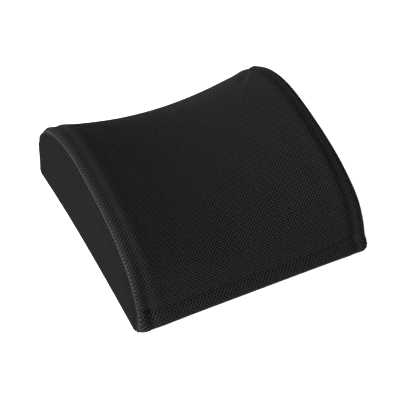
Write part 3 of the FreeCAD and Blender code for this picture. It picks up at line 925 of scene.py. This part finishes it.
def build_front_mesh():
    """The air mesh as one piece, its four edges turned in by its thickness."""
    many, rows = round(FRONT_WIDTH / HOLE_PITCH), round(FRONT_LENGTH / ROW_PITCH)
    knot_down, knot_across = (np.clip(a.ravel(), 0, 1) for a in net_corners(many, rows))
    row, column, corners = net_cells(many, rows)
    rim_down, rim_across, tip_down, tip_across = net_holes(row, column, many, rows)
    knots, rims = len(knot_down), rim_down.size
    down = np.clip(np.concatenate([knot_down, rim_down.ravel(), tip_down]), 0, 1)
    across = np.clip(np.concatenate([knot_across, rim_across.ravel(), tip_across]), 0, 1)
    rim = knots + np.arange(rims).reshape(rim_down.shape)
    tip = knots + rims + np.arange(len(row))
    opening = open_holes(down, across)
    is_open = opening[tip] > 0
    points, normal = front_points(down, across)
    counts = [knots, rims, len(row)]
    points -= normal * (np.repeat([0.0, RIM_DROP, HOLE_DEPTH], counts) * opening)[:, None]
    # Painted shade: none on the knots, most at each hole's bottom, some on rims, crushed cells and the hem.
    pit = np.repeat([0.0, RIM_SHADE, 1.0], counts) * opening + CRUSHED_SHADE * (1 - opening)
    loop = edge_loop(knot_down, knot_across)
    after = np.roll(loop, -1)
    inner = len(points) + np.arange(len(loop))
    hem = np.stack([loop, after, np.roll(inner, -1), inner], 1)
    points = np.concatenate([points, points[loop] - normal[loop] * MESH_THICKNESS])
    pit = np.concatenate([pit, np.full(len(loop), HEM_SHADE)])
    faces = net_faces(corners, rim, tip, is_open) + list(hem)
    piece = add_piece("front_mesh", points, faces, AIR_MESH, "front_mesh_panel", "air_mesh")
    mark = piece.data.attributes.new("pit", "FLOAT", "POINT")
    mark.data.foreach_set("value", pit.astype(np.float32))
    tidy_mesh(piece, 0.02 * MM)
    print("holes:", int(is_open.sum()), "in", rows + 1, "rows")
    return piece


front_mesh = build_front_mesh()
triangles = sum(len(p.vertices) - 2 for p in front_mesh.data.polygons)
print("front mesh:", triangles, "triangles after tidying")

# %% [markdown]
# ## The side panels
# A side panel is one piece of plain cloth, bounded above by the front seam and below by the
# rear seam. It is measured in upright slices from end to end. The slices are closer together
# near the ends, where the seam turns down steeply. It isn't simulated: the swelling of the
# walls by the curl above is what fills it out.

# %% Side panels
CLOTH_THICKNESS = 1.0 * MM
SIDE_ROWS, SIDE_COLUMNS = 25, 105  # of the measured grid
END_STEP = 0.3 * MM  # its end slices stand this far inside the panel's ends
SIDE_MESH_ROWS, SIDE_MESH_COLUMNS = 75, 241  # of the finished panel
UPPER_FOLDS = ((0.5, 5 * MM, 3 * MM), (-0.5, 12 * MM, 4 * MM), (-1.5, 0.0, 0.9 * MM),
               (-0.4, SEAM_ROW, 0.5 * MM))
LOWER_FOLDS = ((0.3, 5 * MM, 3 * MM), (-0.8, 0.0, 0.8 * MM))


def side_grid(hand):
    """Points of a side panel: rows from its seam down to the rear seam, columns end to end."""
    edge = front_base[:, 0 if hand < 0 else -1]
    first, last = edge[0, 1], edge[-1, 1]
    turns = np.linspace(-math.pi / 2, math.pi / 2, SIDE_COLUMNS)
    slices = []
    for y in first + (last - first) * (np.sin(turns) + 1) / 2:
        y = float(np.clip(y, first + END_STEP, last - END_STEP))
        top = float(np.interp(y, edge[:, 1], edge[:, 2]))
        start = (hand * (SEAM_X + 0.5 * MM), top)
        stop = (hand * HALF_WIDTH, SKIRT_Z + EDGE_STEP)
        pair = (start, stop) if hand > 0 else (stop, start)
        path = outline_hits(y, 0, *pair, count=160)
        path = path if path[0, 2] > path[-1, 2] else path[::-1]
        slices.append(evenly(path, SIDE_ROWS))
    return smoothed(np.stack(slices, 1), 3)


def side_relief(distance_up, distance_down):
    """Folds of a side panel beside its two seams."""
    return (folds(distance_up, UPPER_FOLDS) + folds(distance_down, LOWER_FOLDS)) * MM


def build_side(name, hand):
    """One side panel, as a sheet with the cloth's own thickness."""
    outward = (hand, 0, 0)
    shape = curled(side_grid(hand))
    normals = normals_of(shape, outward)
    heights = np.array([along(shape[:, c])[-1] for c in range(SIDE_COLUMNS)])
    down, across = lattice((0, 1, SIDE_MESH_ROWS), (0, 1, SIDE_MESH_COLUMNS))
    height = at_share(across, heights)
    normal = read(normals, down, across)
    points = read(shape, down, across) + normal * side_relief(down * height, (1 - down) * height)[..., None]
    faces = grid_faces(SIDE_MESH_ROWS, SIDE_MESH_COLUMNS)
    piece = add_piece("side_cloth_" + name, points.reshape(-1, 3), faces, SIDE_CLOTH,
                      "side_panel_" + name, "side_cloth", outward, CLOTH_THICKNESS)
    return shape, normals, heights


HANDS = (("left", -1), ("right", 1))
side_shapes = {name: build_side(name, hand) for name, hand in HANDS}

# %% [markdown]
# ## The rear panel
# The rear cloth lies flat on what the cushion stands on, apart from a shallow channel that the
# strap lies in. Its edge turns up all round into a short skirt, and at the lower end it turns
# up further, as far as the zip. It is built from rings of points that run from the skirt's
# edge in to the middle, each ring a rounded rectangle with the same number of points.

# %% Rear panel
RING_ENDS, RING_SIDES, RING_CORNER = 100, 90, 10  # points along an end, a side and round a corner
REAR_LIFT = 0.15 * MM  # of the cloth above what the cushion stands on
CHANNEL_MARGIN, CHANNEL_SLOPE, CHANNEL_CORNER = 2 * MM, 2.5 * MM, 5 * MM
SKIRT_FOLDS = ((0.35, 4 * MM, 2.5 * MM), (-0.5, 0.0, 0.8 * MM))


def ring(half_x, half_y, corner, height):
    """A rounded rectangle of points at one height, always with the same count."""
    corner = min(corner, half_x, half_y)
    core_x, core_y = half_x - corner, half_y - corner
    points = []
    quarters = ((1, -1, -90, RING_SIDES, False), (1, 1, 0, RING_ENDS, True),
                (-1, 1, 90, RING_SIDES, False), (-1, -1, 180, RING_ENDS, True))
    for sx, sy, start, count, along_x in quarters:
        for i in range(RING_CORNER):
            angle = math.radians(start + 90 * i / RING_CORNER)
            points.append((sx * core_x + corner * math.cos(angle),
                           sy * core_y + corner * math.sin(angle), height))
        for i in range(count):
            share = i / count
            if along_x:
                points.append((sx * core_x * (1 - 2 * share), sy * half_y, height))
            else:
                points.append((sx * half_x, sy * core_y * (1 - 2 * share), height))
    return np.array(points)


def cushion_outline(height):
    """The cushion's outline at one height, and its outward directions."""
    outline = ring(HALF_WIDTH, HALF_LENGTH, PLAN_CORNER, height)
    inner = ring(HALF_WIDTH - 1 * MM, HALF_LENGTH - 1 * MM, PLAN_CORNER - 1 * MM, height)
    return outline, (outline - inner) / MM


def skirt_rings():
    """The rings of the skirt, from its upper edge down and in to where it lies flat."""
    outline, outward = cushion_outline(0.0)
    turned = (outline[:, 1] > HALF_LENGTH - 2 * MM) & (np.abs(outline[:, 0]) < SEAM_X)
    tops = np.where(turned, window_edge(outline[:, 0], -1), SKIRT_Z - 2 * SEAM_HALF_GAP)
    rings = []
    for share in (1.0, 0.93, 0.86, 0.75, 0.6, 0.45, 0.3, 0.2, 0.12, 0.06, 0.02):
        wall = outline.copy()
        wall[:, 2] = tops * share
        above = tops * (1 - share)
        found = curled(wall) + outward * (folds(above, SKIRT_FOLDS) * MM * ~turned)[:, None]
        found[:, 2] = np.maximum(found[:, 2], REAR_LIFT)
        rings.append(found)
    return rings


def rear_rings():
    """The rear panel's rings, from the edge of its skirt to the strap's channel and its middle."""
    rings = skirt_rings()
    strap_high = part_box("rear_strap")[1]
    channel_x, channel_y = strap_high.x + CHANNEL_MARGIN, strap_high.y + CHANNEL_MARGIN
    mouth_x, mouth_y = channel_x + CHANNEL_SLOPE, channel_y + CHANNEL_SLOPE
    recess = strap_high.z + 0.6 * MM
    bottom = rings[-1].copy()
    bottom[:, 2] = REAR_LIFT
    mouth = ring(mouth_x, mouth_y, CHANNEL_CORNER, REAR_LIFT)
    for share in (0.12, 0.25, 0.4, 0.55, 0.7, 0.85, 1.0):
        rings.append(bottom * (1 - share) + mouth * share)
    for step in (0.25, 0.5, 0.75, 1.0):
        inset = CHANNEL_SLOPE * step
        depth = REAR_LIFT + (recess - REAR_LIFT) * (1 - math.cos(math.pi * step)) / 2
        rings.append(ring(mouth_x - inset, mouth_y - inset, CHANNEL_CORNER - inset / 2, depth))
    for share in (0.66, 0.33, 0.05):
        rings.append(ring(channel_x - channel_y * (1 - share), channel_y * share, 2 * MM * share, recess))
    return rings


def build_rear():
    """The rear panel, closed across its middle."""
    rings = rear_rings()
    count = len(rings[0])
    points = np.concatenate(rings)
    faces = [tuple(f) for f in grid_faces(len(rings), count, closed=True)]
    last = (len(rings) - 1) * count
    # The innermost ring is a narrow slot: each point of one long side is joined to the other side's.
    half = count // 2
    corner_and_side = RING_CORNER + RING_SIDES
    first = last + corner_and_side
    for i in range(RING_CORNER + RING_ENDS):
        a, b = first + i, first + i + 1
        across_slot = corner_and_side + half + RING_CORNER + RING_ENDS - i
        c, d = last + across_slot % count, last + (across_slot - 1) % count
        faces.append((a, b, d, c))
    piece = add_piece("rear_cloth", points, faces, REAR_CLOTH, "rear_panel", "side_cloth")
    tidy_mesh(piece, 0.03 * MM)
    flat_part = min(piece.data.polygons, key=lambda p: abs(p.center.x) + abs(p.center.y - 0.1))
    if flat_part.normal.z > 0:
        piece.data.flip_normals()
    thicken(piece, CLOTH_THICKNESS)


build_rear()

# %% [markdown]
# ## Stitches
# A row of stitches is one mesh of many small rounded bodies, each lying along its path with
# its ends pulled down into the cloth, as a lock stitch looks from above. The seams are
# topstitched on both sides, with a row on the mesh and a row on the side cloth.

# %% Stitch maker
STITCH_LENGTH, STITCH_SPACE, STITCH_RADIUS = 3.0 * MM, 1.0 * MM, 0.36 * MM
STITCH_LIFT = 0.75 * STITCH_RADIUS  # of a stitch's middle above the cloth
STITCH_RINGS, STITCH_SIDES = 5, 6


def stitch_row(path, normals, length=STITCH_LENGTH, space=STITCH_SPACE, radius=STITCH_RADIUS,
               sink=0.5 * MM):
    """Points and faces of the stitches along a path."""
    total = along(path)[-1]
    many = max(1, int(total // (length + space)))
    margin = (total - many * (length + space) + space) / 2
    shares = np.linspace(0, 1, STITCH_RINGS)
    points, faces = [], []
    reach = along(path)
    for i in range(many):
        at = margin + i * (length + space) + shares * length
        middle = np.stack([np.interp(at, reach, path[:, k]) for k in range(3)], 1)
        up = unit(np.stack([np.interp(at, reach, normals[:, k]) for k in range(3)], 1))
        ahead = unit(np.gradient(middle, axis=0))
        side = np.cross(ahead, up)
        arch = np.sin(shares * math.pi)
        middle = middle + up * ((arch ** 0.6 - 1) * sink)[:, None]
        size = radius * (0.55 + 0.45 * arch ** 0.5)
        start = len(points)
        for r in range(STITCH_RINGS):
            for s in range(STITCH_SIDES):
                angle = 2 * math.pi * s / STITCH_SIDES
                spoke = math.cos(angle) * side[r] + math.sin(angle) * up[r]
                points.append(middle[r] + size[r] * spoke)
        last = start + (STITCH_RINGS - 1) * STITCH_SIDES
        faces += [tuple(f) for f in grid_faces(STITCH_RINGS, STITCH_SIDES, closed=True, start=start)]
        faces.append(tuple(start + s for s in reversed(range(STITCH_SIDES))))
        faces.append(tuple(last + s for s in range(STITCH_SIDES)))
    return points, faces


def joined(parts):
    """Points and faces of several parts as one."""
    points, faces = [], []
    for some_points, some_faces in parts:
        start = len(points)
        points += [tuple(p) for p in some_points]
        faces += [tuple(start + i for i in f) for f in some_faces]
    return points, faces


# %% [markdown]
# A seam's stitches follow it at one distance on each cloth, so their paths are read from the
# finished surfaces. The rear seam is sewn from inside and shows one sunken row.

# %% Seam threads


def seam_rows(name, hand):
    """The two topstitched rows of one front seam."""
    down = np.linspace(0.02, 0.985, 400)
    across = SEAM_ROW / at_share(down, row_lengths)
    across = across if hand < 0 else 1 - across
    on_mesh = front_points(down, across, STITCH_LIFT)
    shape, normals, heights = side_shapes[name]
    share = np.linspace(0.02, 0.98, 400)
    height = at_share(share, heights)
    below = np.clip(SEAM_ROW / height, 0, 0.4)
    normal = unit(read(normals, below, share))
    lift = side_relief(below * height, (1 - below) * height) + STITCH_LIFT
    on_side = read(shape, below, share) + normal * lift[:, None]
    return joined([stitch_row(*on_mesh), stitch_row(on_side, normal)])


for name, hand in HANDS:
    add_piece("seam_stitches_" + name, *seam_rows(name, hand), THREAD_LONG, "seam_thread_" + name, "thread")


REAR_ROW_SINK = 0.35 * MM  # of the rear seam's stitches into the seam


def rear_seam_path():
    """The rear seam's path round the sides and the upper end, and its outward normals."""
    outline, outward = cushion_outline(SKIRT_Z - SEAM_HALF_GAP)
    turned = (outline[:, 1] > HALF_LENGTH - 4 * MM) & (np.abs(outline[:, 0]) < SEAM_X)
    kept = np.flatnonzero(~turned)
    gap = int(np.argmax(np.diff(kept))) + 1
    order = np.concatenate([kept[gap:], kept[:gap]])
    return curled(outline)[order] - outward[order] * REAR_ROW_SINK, outward[order]


rear_row = stitch_row(*rear_seam_path(), length=2.4 * MM, space=1.1 * MM, radius=0.3 * MM)
add_piece("rear_seam_stitches", *rear_row, THREAD_LONG, "rear_seam_thread", "thread")

# %% [markdown]
# ## What the cover hides
# Behind each front seam the cut edges are bound with a narrow woven tape. It can't be seen in
# a finished cushion, but it is there in the model as in the real one. It follows the front's
# surface from underneath, with the small wrinkles that a bound edge has.

# %% Bindings
BINDING_START, BINDING_WIDTH, BINDING_THICKNESS = 1.5 * MM, 8.5 * MM, 0.4 * MM
BINDING_GAP = 0.75 * MM  # under the mesh


def binding(name, hand):
    """The bound seam allowance, lying under the mesh beside its seam."""
    rows, columns = 160, 7
    down, step = lattice((0.01, 0.97, rows), (0, 1, columns))
    inward = (BINDING_START + BINDING_WIDTH * step) / at_share(down, row_lengths)
    across = inward if hand < 0 else 1 - inward
    normal = read(front_normals, down, across)
    wrinkle = 0.15 * MM * np.sin(down * 190) * np.sin(step * math.pi)
    depth = MESH_THICKNESS + BINDING_GAP + wrinkle
    points = read(front_shape, down, across) - normal * depth[..., None]
    piece = add_piece("seam_binding_tape_" + name, points.reshape(-1, 3), grid_faces(rows, columns),
                      TAPE_CLOTH, "seam_binding_" + name, "webbing", thickness=BINDING_THICKNESS)


for name, hand in HANDS:
    binding(name, hand)

# %% [markdown]
# Under the cover a thin knitted liner holds the foam. The foam is the design's solid made
# again from small blocks and smoothed, which rounds its edges as moulding does, and the liner
# is the same shape a little larger. Both are drawn in a few millimetres, because the folds and
# holes of the mesh reach down towards them.

# %% Foam and liner
BLOCK_SIZE = 5 * MM
FOAM_GROWTH, LINER_GROWTH, LINER_THICKNESS = -4.2 * MM, -3.5 * MM, 0.35 * MM


def foam_shape(name, grow, material, thickness=0.0):
    """The foam's solid made again from small blocks, smoothed and grown."""
    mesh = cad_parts["foam_core"].data.copy()
    mesh.materials.clear()
    mesh.materials.append(material)
    piece = bpy.data.objects.new(name, mesh)
    bpy.context.scene.collection.objects.link(piece)
    blocks = piece.modifiers.new("blocks", "REMESH")
    blocks.mode, blocks.voxel_size, blocks.use_smooth_shade = "VOXEL", BLOCK_SIZE, True
    smooth = piece.modifiers.new("smooth", "SMOOTH")
    smooth.factor, smooth.iterations = 0.5, 6
    push = piece.modifiers.new("push", "DISPLACE")
    push.strength, push.mid_level = grow, 0.0
    if thickness:
        skin = piece.modifiers.new("skin", "SOLIDIFY")
        skin.thickness, skin.offset = thickness, -1.0
    apply_modifiers(piece)
    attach(piece, "cushion")
    print(f"{name}: {len(piece.data.polygons)} faces")
    return piece


foam = foam_shape("foam_block", FOAM_GROWTH, FOAM)
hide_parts("foam_core")
liner = foam_shape("liner_bag", LINER_GROWTH, LINER_CLOTH, LINER_THICKNESS)
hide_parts("foam_liner")

# %% [markdown]
# ## The zip
# A coil zip is two woven tapes, each with a nylon spiral sewn along its edge. The spirals are
# modelled turn by turn, because a plain bar would catch the light like a wire. Each turn is
# flattened, so the loop is a rounded rectangle, and the two halves are half a turn apart.

# %% Tube maker


def tube(path, radius, sides):
    """Points and faces of a round tube along a path."""
    path = np.asarray(path)
    ahead = unit(np.gradient(path, axis=0))
    guide = np.where(np.abs(ahead[:, :1]) > 0.9, [[0.0, 0.0, 1.0]], [[1.0, 0.0, 0.0]])
    side = unit(np.cross(ahead, guide))
    up = np.cross(side, ahead)
    angles = np.linspace(0, 2 * math.pi, sides, endpoint=False)
    rings = (path[:, None] + radius * (np.cos(angles)[None, :, None] * side[:, None]
                                       + np.sin(angles)[None, :, None] * up[:, None]))
    faces = [tuple(f) for f in grid_faces(len(path), sides, closed=True)]
    faces.append(tuple(reversed(range(sides))))
    faces.append(tuple((len(path) - 1) * sides + s for s in range(sides)))
    return rings.reshape(-1, 3), faces


# %% [markdown]
# Each half's helix runs the length of its bar in the design. Squashing its circle with a fourth
# power makes the rounded rectangle, and the count of turns follows from the zip's length.

# %% Coils
COIL_PITCH, COIL_WIRE = 1.5 * MM, 0.30 * MM
TURN_STEPS = 10  # points in one turn


def coil(side):
    """One half's spiral, as a flattened helix inside the design's bar."""
    name = "upper" if side > 0 else "lower"
    start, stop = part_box("zip_coil_" + name)
    half_deep = (stop.y - start.y) / 2 - COIL_WIRE
    half_wide = (stop.z - start.z) / 2 - COIL_WIRE
    middle = (start + stop) / 2
    turns = int((stop.x - start.x - 2 * COIL_WIRE) / COIL_PITCH)
    angle = np.linspace(0, 2 * math.pi * turns, turns * TURN_STEPS + 1) + (0 if side > 0 else math.pi)
    c, s = np.cos(angle), np.sin(angle)
    squash = (np.abs(c) ** 4 + np.abs(s) ** 4) ** -0.25
    x = start.x + COIL_WIRE + (stop.x - start.x - 2 * COIL_WIRE) * np.linspace(0, 1, len(angle))
    path = np.stack([x, middle.y + half_deep * s * squash, middle.z + half_wide * c * squash], 1)
    spiral = tube(path, COIL_WIRE, sides=5)
    add_piece("zip_spiral_" + name, *spiral, ZIP_NYLON, "zip_coil_" + name, "zip_nylon")


for side in (-1, 1):
    coil(side)

# %% [markdown]
# Each tape is a narrow, firm weave with lengthways ridges. The ridges, about a millimetre
# apart, are in the mesh, and the finer weave is in the finish.

# %% Tapes
TAPE_RIBS, RIB_HEIGHT, RIPPLE_HEIGHT = 9, 0.04 * MM, 0.05 * MM
TAPE_SINK, TAPE_THICKNESS = 0.10 * MM, 0.4 * MM


def tape(side):
    """One woven half of the zip."""
    name = "upper" if side > 0 else "lower"
    start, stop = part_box("zip_tape_" + name)
    rows, columns = 31, 319
    z, x = lattice((start.z, stop.z, rows), (start.x, stop.x, columns))
    across = (z - start.z) / (stop.z - start.z)
    ribs = RIB_HEIGHT * np.sin(2 * math.pi * across * TAPE_RIBS)
    ripple = RIPPLE_HEIGHT * np.sin(x * 130) * np.sin(across * math.pi)
    points = np.stack([x, stop.y - TAPE_SINK + ribs + ripple, z], -1)
    piece = add_piece("zip_tape_cloth_" + name, points.reshape(-1, 3), grid_faces(rows, columns),
                      TAPE_CLOTH, "zip_tape_" + name, "webbing", (0, 1, 0), TAPE_THICKNESS)


for side in (-1, 1):
    tape(side)

# %% [markdown]
# The stops are clamped round the coil, so each is a rounded block of its design's size. The
# slider, its crown and its pull tab have their true shapes in the design, so they are kept,
# and only their finish is made here.

# %% Stops, slider and pull tab


def rounded_block(start, stop, radius):
    """Points and faces of a block with rounded edges."""
    work = bmesh.new()
    bmesh.ops.create_cube(work, size=1.0)
    size, middle = stop - start, (start + stop) / 2
    for v in work.verts:
        v.co = Vector([v.co[k] * size[k] + middle[k] for k in range(3)])
    bmesh.ops.bevel(work, geom=work.edges[:], offset=radius, segments=3, profile=0.6,
                    affect="EDGES")
    work.verts.index_update()
    points = [tuple(v.co) for v in work.verts]
    faces = [tuple(v.index for v in f.verts) for f in work.faces]
    work.free()
    return points, faces


top_start, top_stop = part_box("zip_top_stops")
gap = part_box("zip_coil_upper")[0].z
top_blocks = [rounded_block(Vector((top_start.x, top_start.y, gap)), top_stop, 0.4 * MM),
              rounded_block(top_start, Vector((top_stop.x, top_stop.y, 2 * ZIP_Z - gap)), 0.4 * MM)]
add_piece("zip_top_clamps", *joined(top_blocks), ZIP_METAL, "zip_top_stops", "zip_metal")
bottom_block = rounded_block(*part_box("zip_bottom_stop"), 0.5 * MM)
add_piece("zip_bottom_clamp", *bottom_block, ZIP_METAL, "zip_bottom_stop", "zip_metal")
for node in ("zip_slider_body", "zip_slider_crown", "zip_pull_tab"):
    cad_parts[node].data.materials.clear()
    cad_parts[node].data.materials.append(ZIP_METAL)

# %% [markdown]
# A row of topstitching runs along each side of the zip and holds the tape's hem flat. Both
# rows are straight, at one height above and below the zip, from end to end.

# %% Topstitches beside the zip


def zip_rows():
    """The row on the mesh above the zip, and the row on the rear cloth below it."""
    share = np.linspace(0.04, 0.96, 400)
    x = SEAM_X * (2 * share - 1)
    above_edge = ZIP_Z + WINDOW_HALF_Z + ZIP_ROW - window_edge(x, 1)
    length = at_share(share, column_lengths)
    upper = front_points(1 - above_edge / length, share, STITCH_LIFT)
    wall = np.stack([x, np.full(len(x), HALF_LENGTH), np.full(len(x), ZIP_Z - WINDOW_HALF_Z - ZIP_ROW)], 1)
    lower = curled(wall) + [0, 0.1 * MM, 0]
    return stitch_row(*upper), stitch_row(lower, np.tile([0.0, 1.0, 0.0], (len(x), 1)))


for name, row in zip(("upper", "lower"), zip_rows()):
    add_piece("zip_topstitches_" + name, *row, THREAD_WIDE, "zip_topstitch_" + name, "thread")

# %% [markdown]
# ## The strap behind
# Elastic webbing is woven with rubber lengthways and stands in small ribs across, so its
# surface is a row of soft waves. Its edges are a little thicker. Both ends are sewn down with
# a box of stitches crossed by its diagonals.

# %% Strap
RIB_PITCH, RIB_DEPTH = 1.8 * MM, 0.12 * MM
STRAP_THICKNESS, STRAP_EDGE = 0.9 * MM, 0.10 * MM  # the webbing, and how much thicker its edges are


def strap():
    """The ribbed elastic strap in its channel."""
    start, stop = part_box("rear_strap")
    rows, columns = 29, 659
    y, x = lattice((start.y, stop.y, rows), (start.x, stop.x, columns))
    across = np.abs(y) / stop.y
    ribs = RIB_DEPTH * np.cos(2 * math.pi * x / RIB_PITCH) * np.clip((1 - across) * 12, 0, 1)
    edge = STRAP_EDGE * hump(across, 0.95, 0.04)
    points = np.stack([x, y, start.z + 0.3 * MM - ribs - edge], -1)
    piece = add_piece("elastic_strap", points.reshape(-1, 3), grid_faces(rows, columns), WEBBING,
                      "rear_strap", "webbing", (0, 0, -1), STRAP_THICKNESS)


strap()

# %% [markdown]
# The ends of the strap carry all its pull, so each is sewn down with a box and two diagonals.

# %% Strap stitches
BOX_LENGTH, BOX_INSET = 26 * MM, 0.3 * MM


def strap_boxes():
    """A sewn box with crossed diagonals at each end of the strap."""
    start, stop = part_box("strap_stitches")
    low_z = start.z + STITCH_RADIUS
    bottom, top = start.y + BOX_INSET, stop.y - BOX_INSET
    parts = []
    for hand in (-1, 1):
        outer = (stop.x if hand > 0 else start.x) - hand * BOX_INSET
        inner = outer - hand * BOX_LENGTH
        a, b, c, d = (outer, bottom), (outer, top), (inner, top), (inner, bottom)
        for p, q in ((a, b), (b, c), (c, d), (d, a), (a, c), (b, d)):
            path = np.linspace((*p, low_z), (*q, low_z), 30)
            parts.append(stitch_row(path, np.tile([0.0, 0.0, -1.0], (30, 1)), length=2.2 * MM,
                                    space=0.8 * MM, radius=0.28 * MM, sink=0.3 * MM))
    return joined(parts)


add_piece("strap_box_stitches", *strap_boxes(), THREAD_WIDE, "strap_stitches", "thread")

# %% [markdown]
# ## The care label
# The label is a folded strip of white satin sewn into the rear seam. It is left blank. Satin
# this thin never lies quite flat, so it stands a little off the side and curves at its end.

# %% Label
LABEL_GAP, LABEL_LEAN, LABEL_WAVE = 0.5 * MM, 1.1 * MM, 0.25 * MM
LABEL_THICKNESS = 0.3 * MM


def label():
    """The blank folded label on the right side."""
    start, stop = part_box("care_label")
    rows, columns = 33, 21
    up, across = lattice((0, 1, rows), (0, 1, columns))
    y = start.y + (stop.y - start.y) * across
    z = start.z + (stop.z - start.z) * up
    spots = side_shapes["right"][0].reshape(-1, 3)
    surface = np.array([spots[np.argmin((spots[:, 1] - a) ** 2 + (spots[:, 2] - b) ** 2), 0]
                        for a, b in zip(y.ravel(), z.ravel())]).reshape(y.shape)
    surface = smoothed(surface[..., None], 8)[..., 0]
    lift = LABEL_GAP + LABEL_LEAN * up ** 2 + LABEL_WAVE * np.sin(across * 5 + up * 3) * up
    points = np.stack([surface + lift, y, z], -1)
    piece = add_piece("blank_label", points.reshape(-1, 3), grid_faces(rows, columns), LABEL_CLOTH,
                      "care_label", "label", (1, 0, 0), LABEL_THICKNESS)


label()

# %% [markdown]
# ## Floor and light
# A black object on white needs a strong main light, or its shape can't be seen. A large lamp
# stands low at the left, so that slopes that face it are clearly brighter than slopes that
# face away, and a second one behind picks out the far edge. The world gives a weak light from
# all round, and the floor glows a little itself, so that it stays white in the shadow.

# %% Floor, world and lamps
WORLD_STRENGTH = 0.35
FLOOR_GLOW, FLOOR_HALF = 0.75, 6.0
LAMP_AIM = (0, 0, 0.05)


def add_floor():
    """A pale matt floor, large enough to fill every view."""
    mesh = bpy.data.meshes.new("floor")
    corners = [(x * FLOOR_HALF, y * FLOOR_HALF, 0) for x, y in ((-1, -1), (1, -1), (1, 1), (-1, 1))]
    mesh.from_pydata(corners, [], [(0, 1, 2, 3)])
    floor = bpy.data.objects.new("floor", mesh)
    bpy.context.scene.collection.objects.link(floor)
    material, _, shader, _ = start_material("floor", 0.9, specular=0.1)
    shader.inputs["Base Color"].default_value = (0.93, 0.93, 0.93, 1.0)
    shader.inputs["Emission Color"].default_value = (1.0, 1.0, 1.0, 1.0)
    shader.inputs["Emission Strength"].default_value = FLOOR_GLOW
    mesh.materials.append(material)


def add_softbox(name, place, size, watts):
    """A square lamp that points at the cushion."""
    data = bpy.data.lights.new(name, "AREA")
    data.shape, data.size, data.energy = "SQUARE", size, watts
    lamp = bpy.data.objects.new(name, data)
    lamp.location = place
    lamp.rotation_euler = (Vector(LAMP_AIM) - Vector(place)).to_track_quat("-Z", "Y").to_euler()
    bpy.context.scene.collection.objects.link(lamp)


add_floor()
world = bpy.data.worlds.new("studio")
world.use_nodes = True
background = world.node_tree.nodes["Background"]
background.inputs["Color"].default_value = (1.0, 1.0, 1.0, 1.0)
background.inputs["Strength"].default_value = WORLD_STRENGTH
bpy.context.scene.world = world
add_softbox("left softbox", (-2.0, -0.5, 0.85), 1.0, 150.0)
add_softbox("rear softbox", (-0.4, 1.4, 1.5), 1.2, 20.0)
bpy.context.scene.view_settings.view_transform = "Standard"
print("world strength", WORLD_STRENGTH)
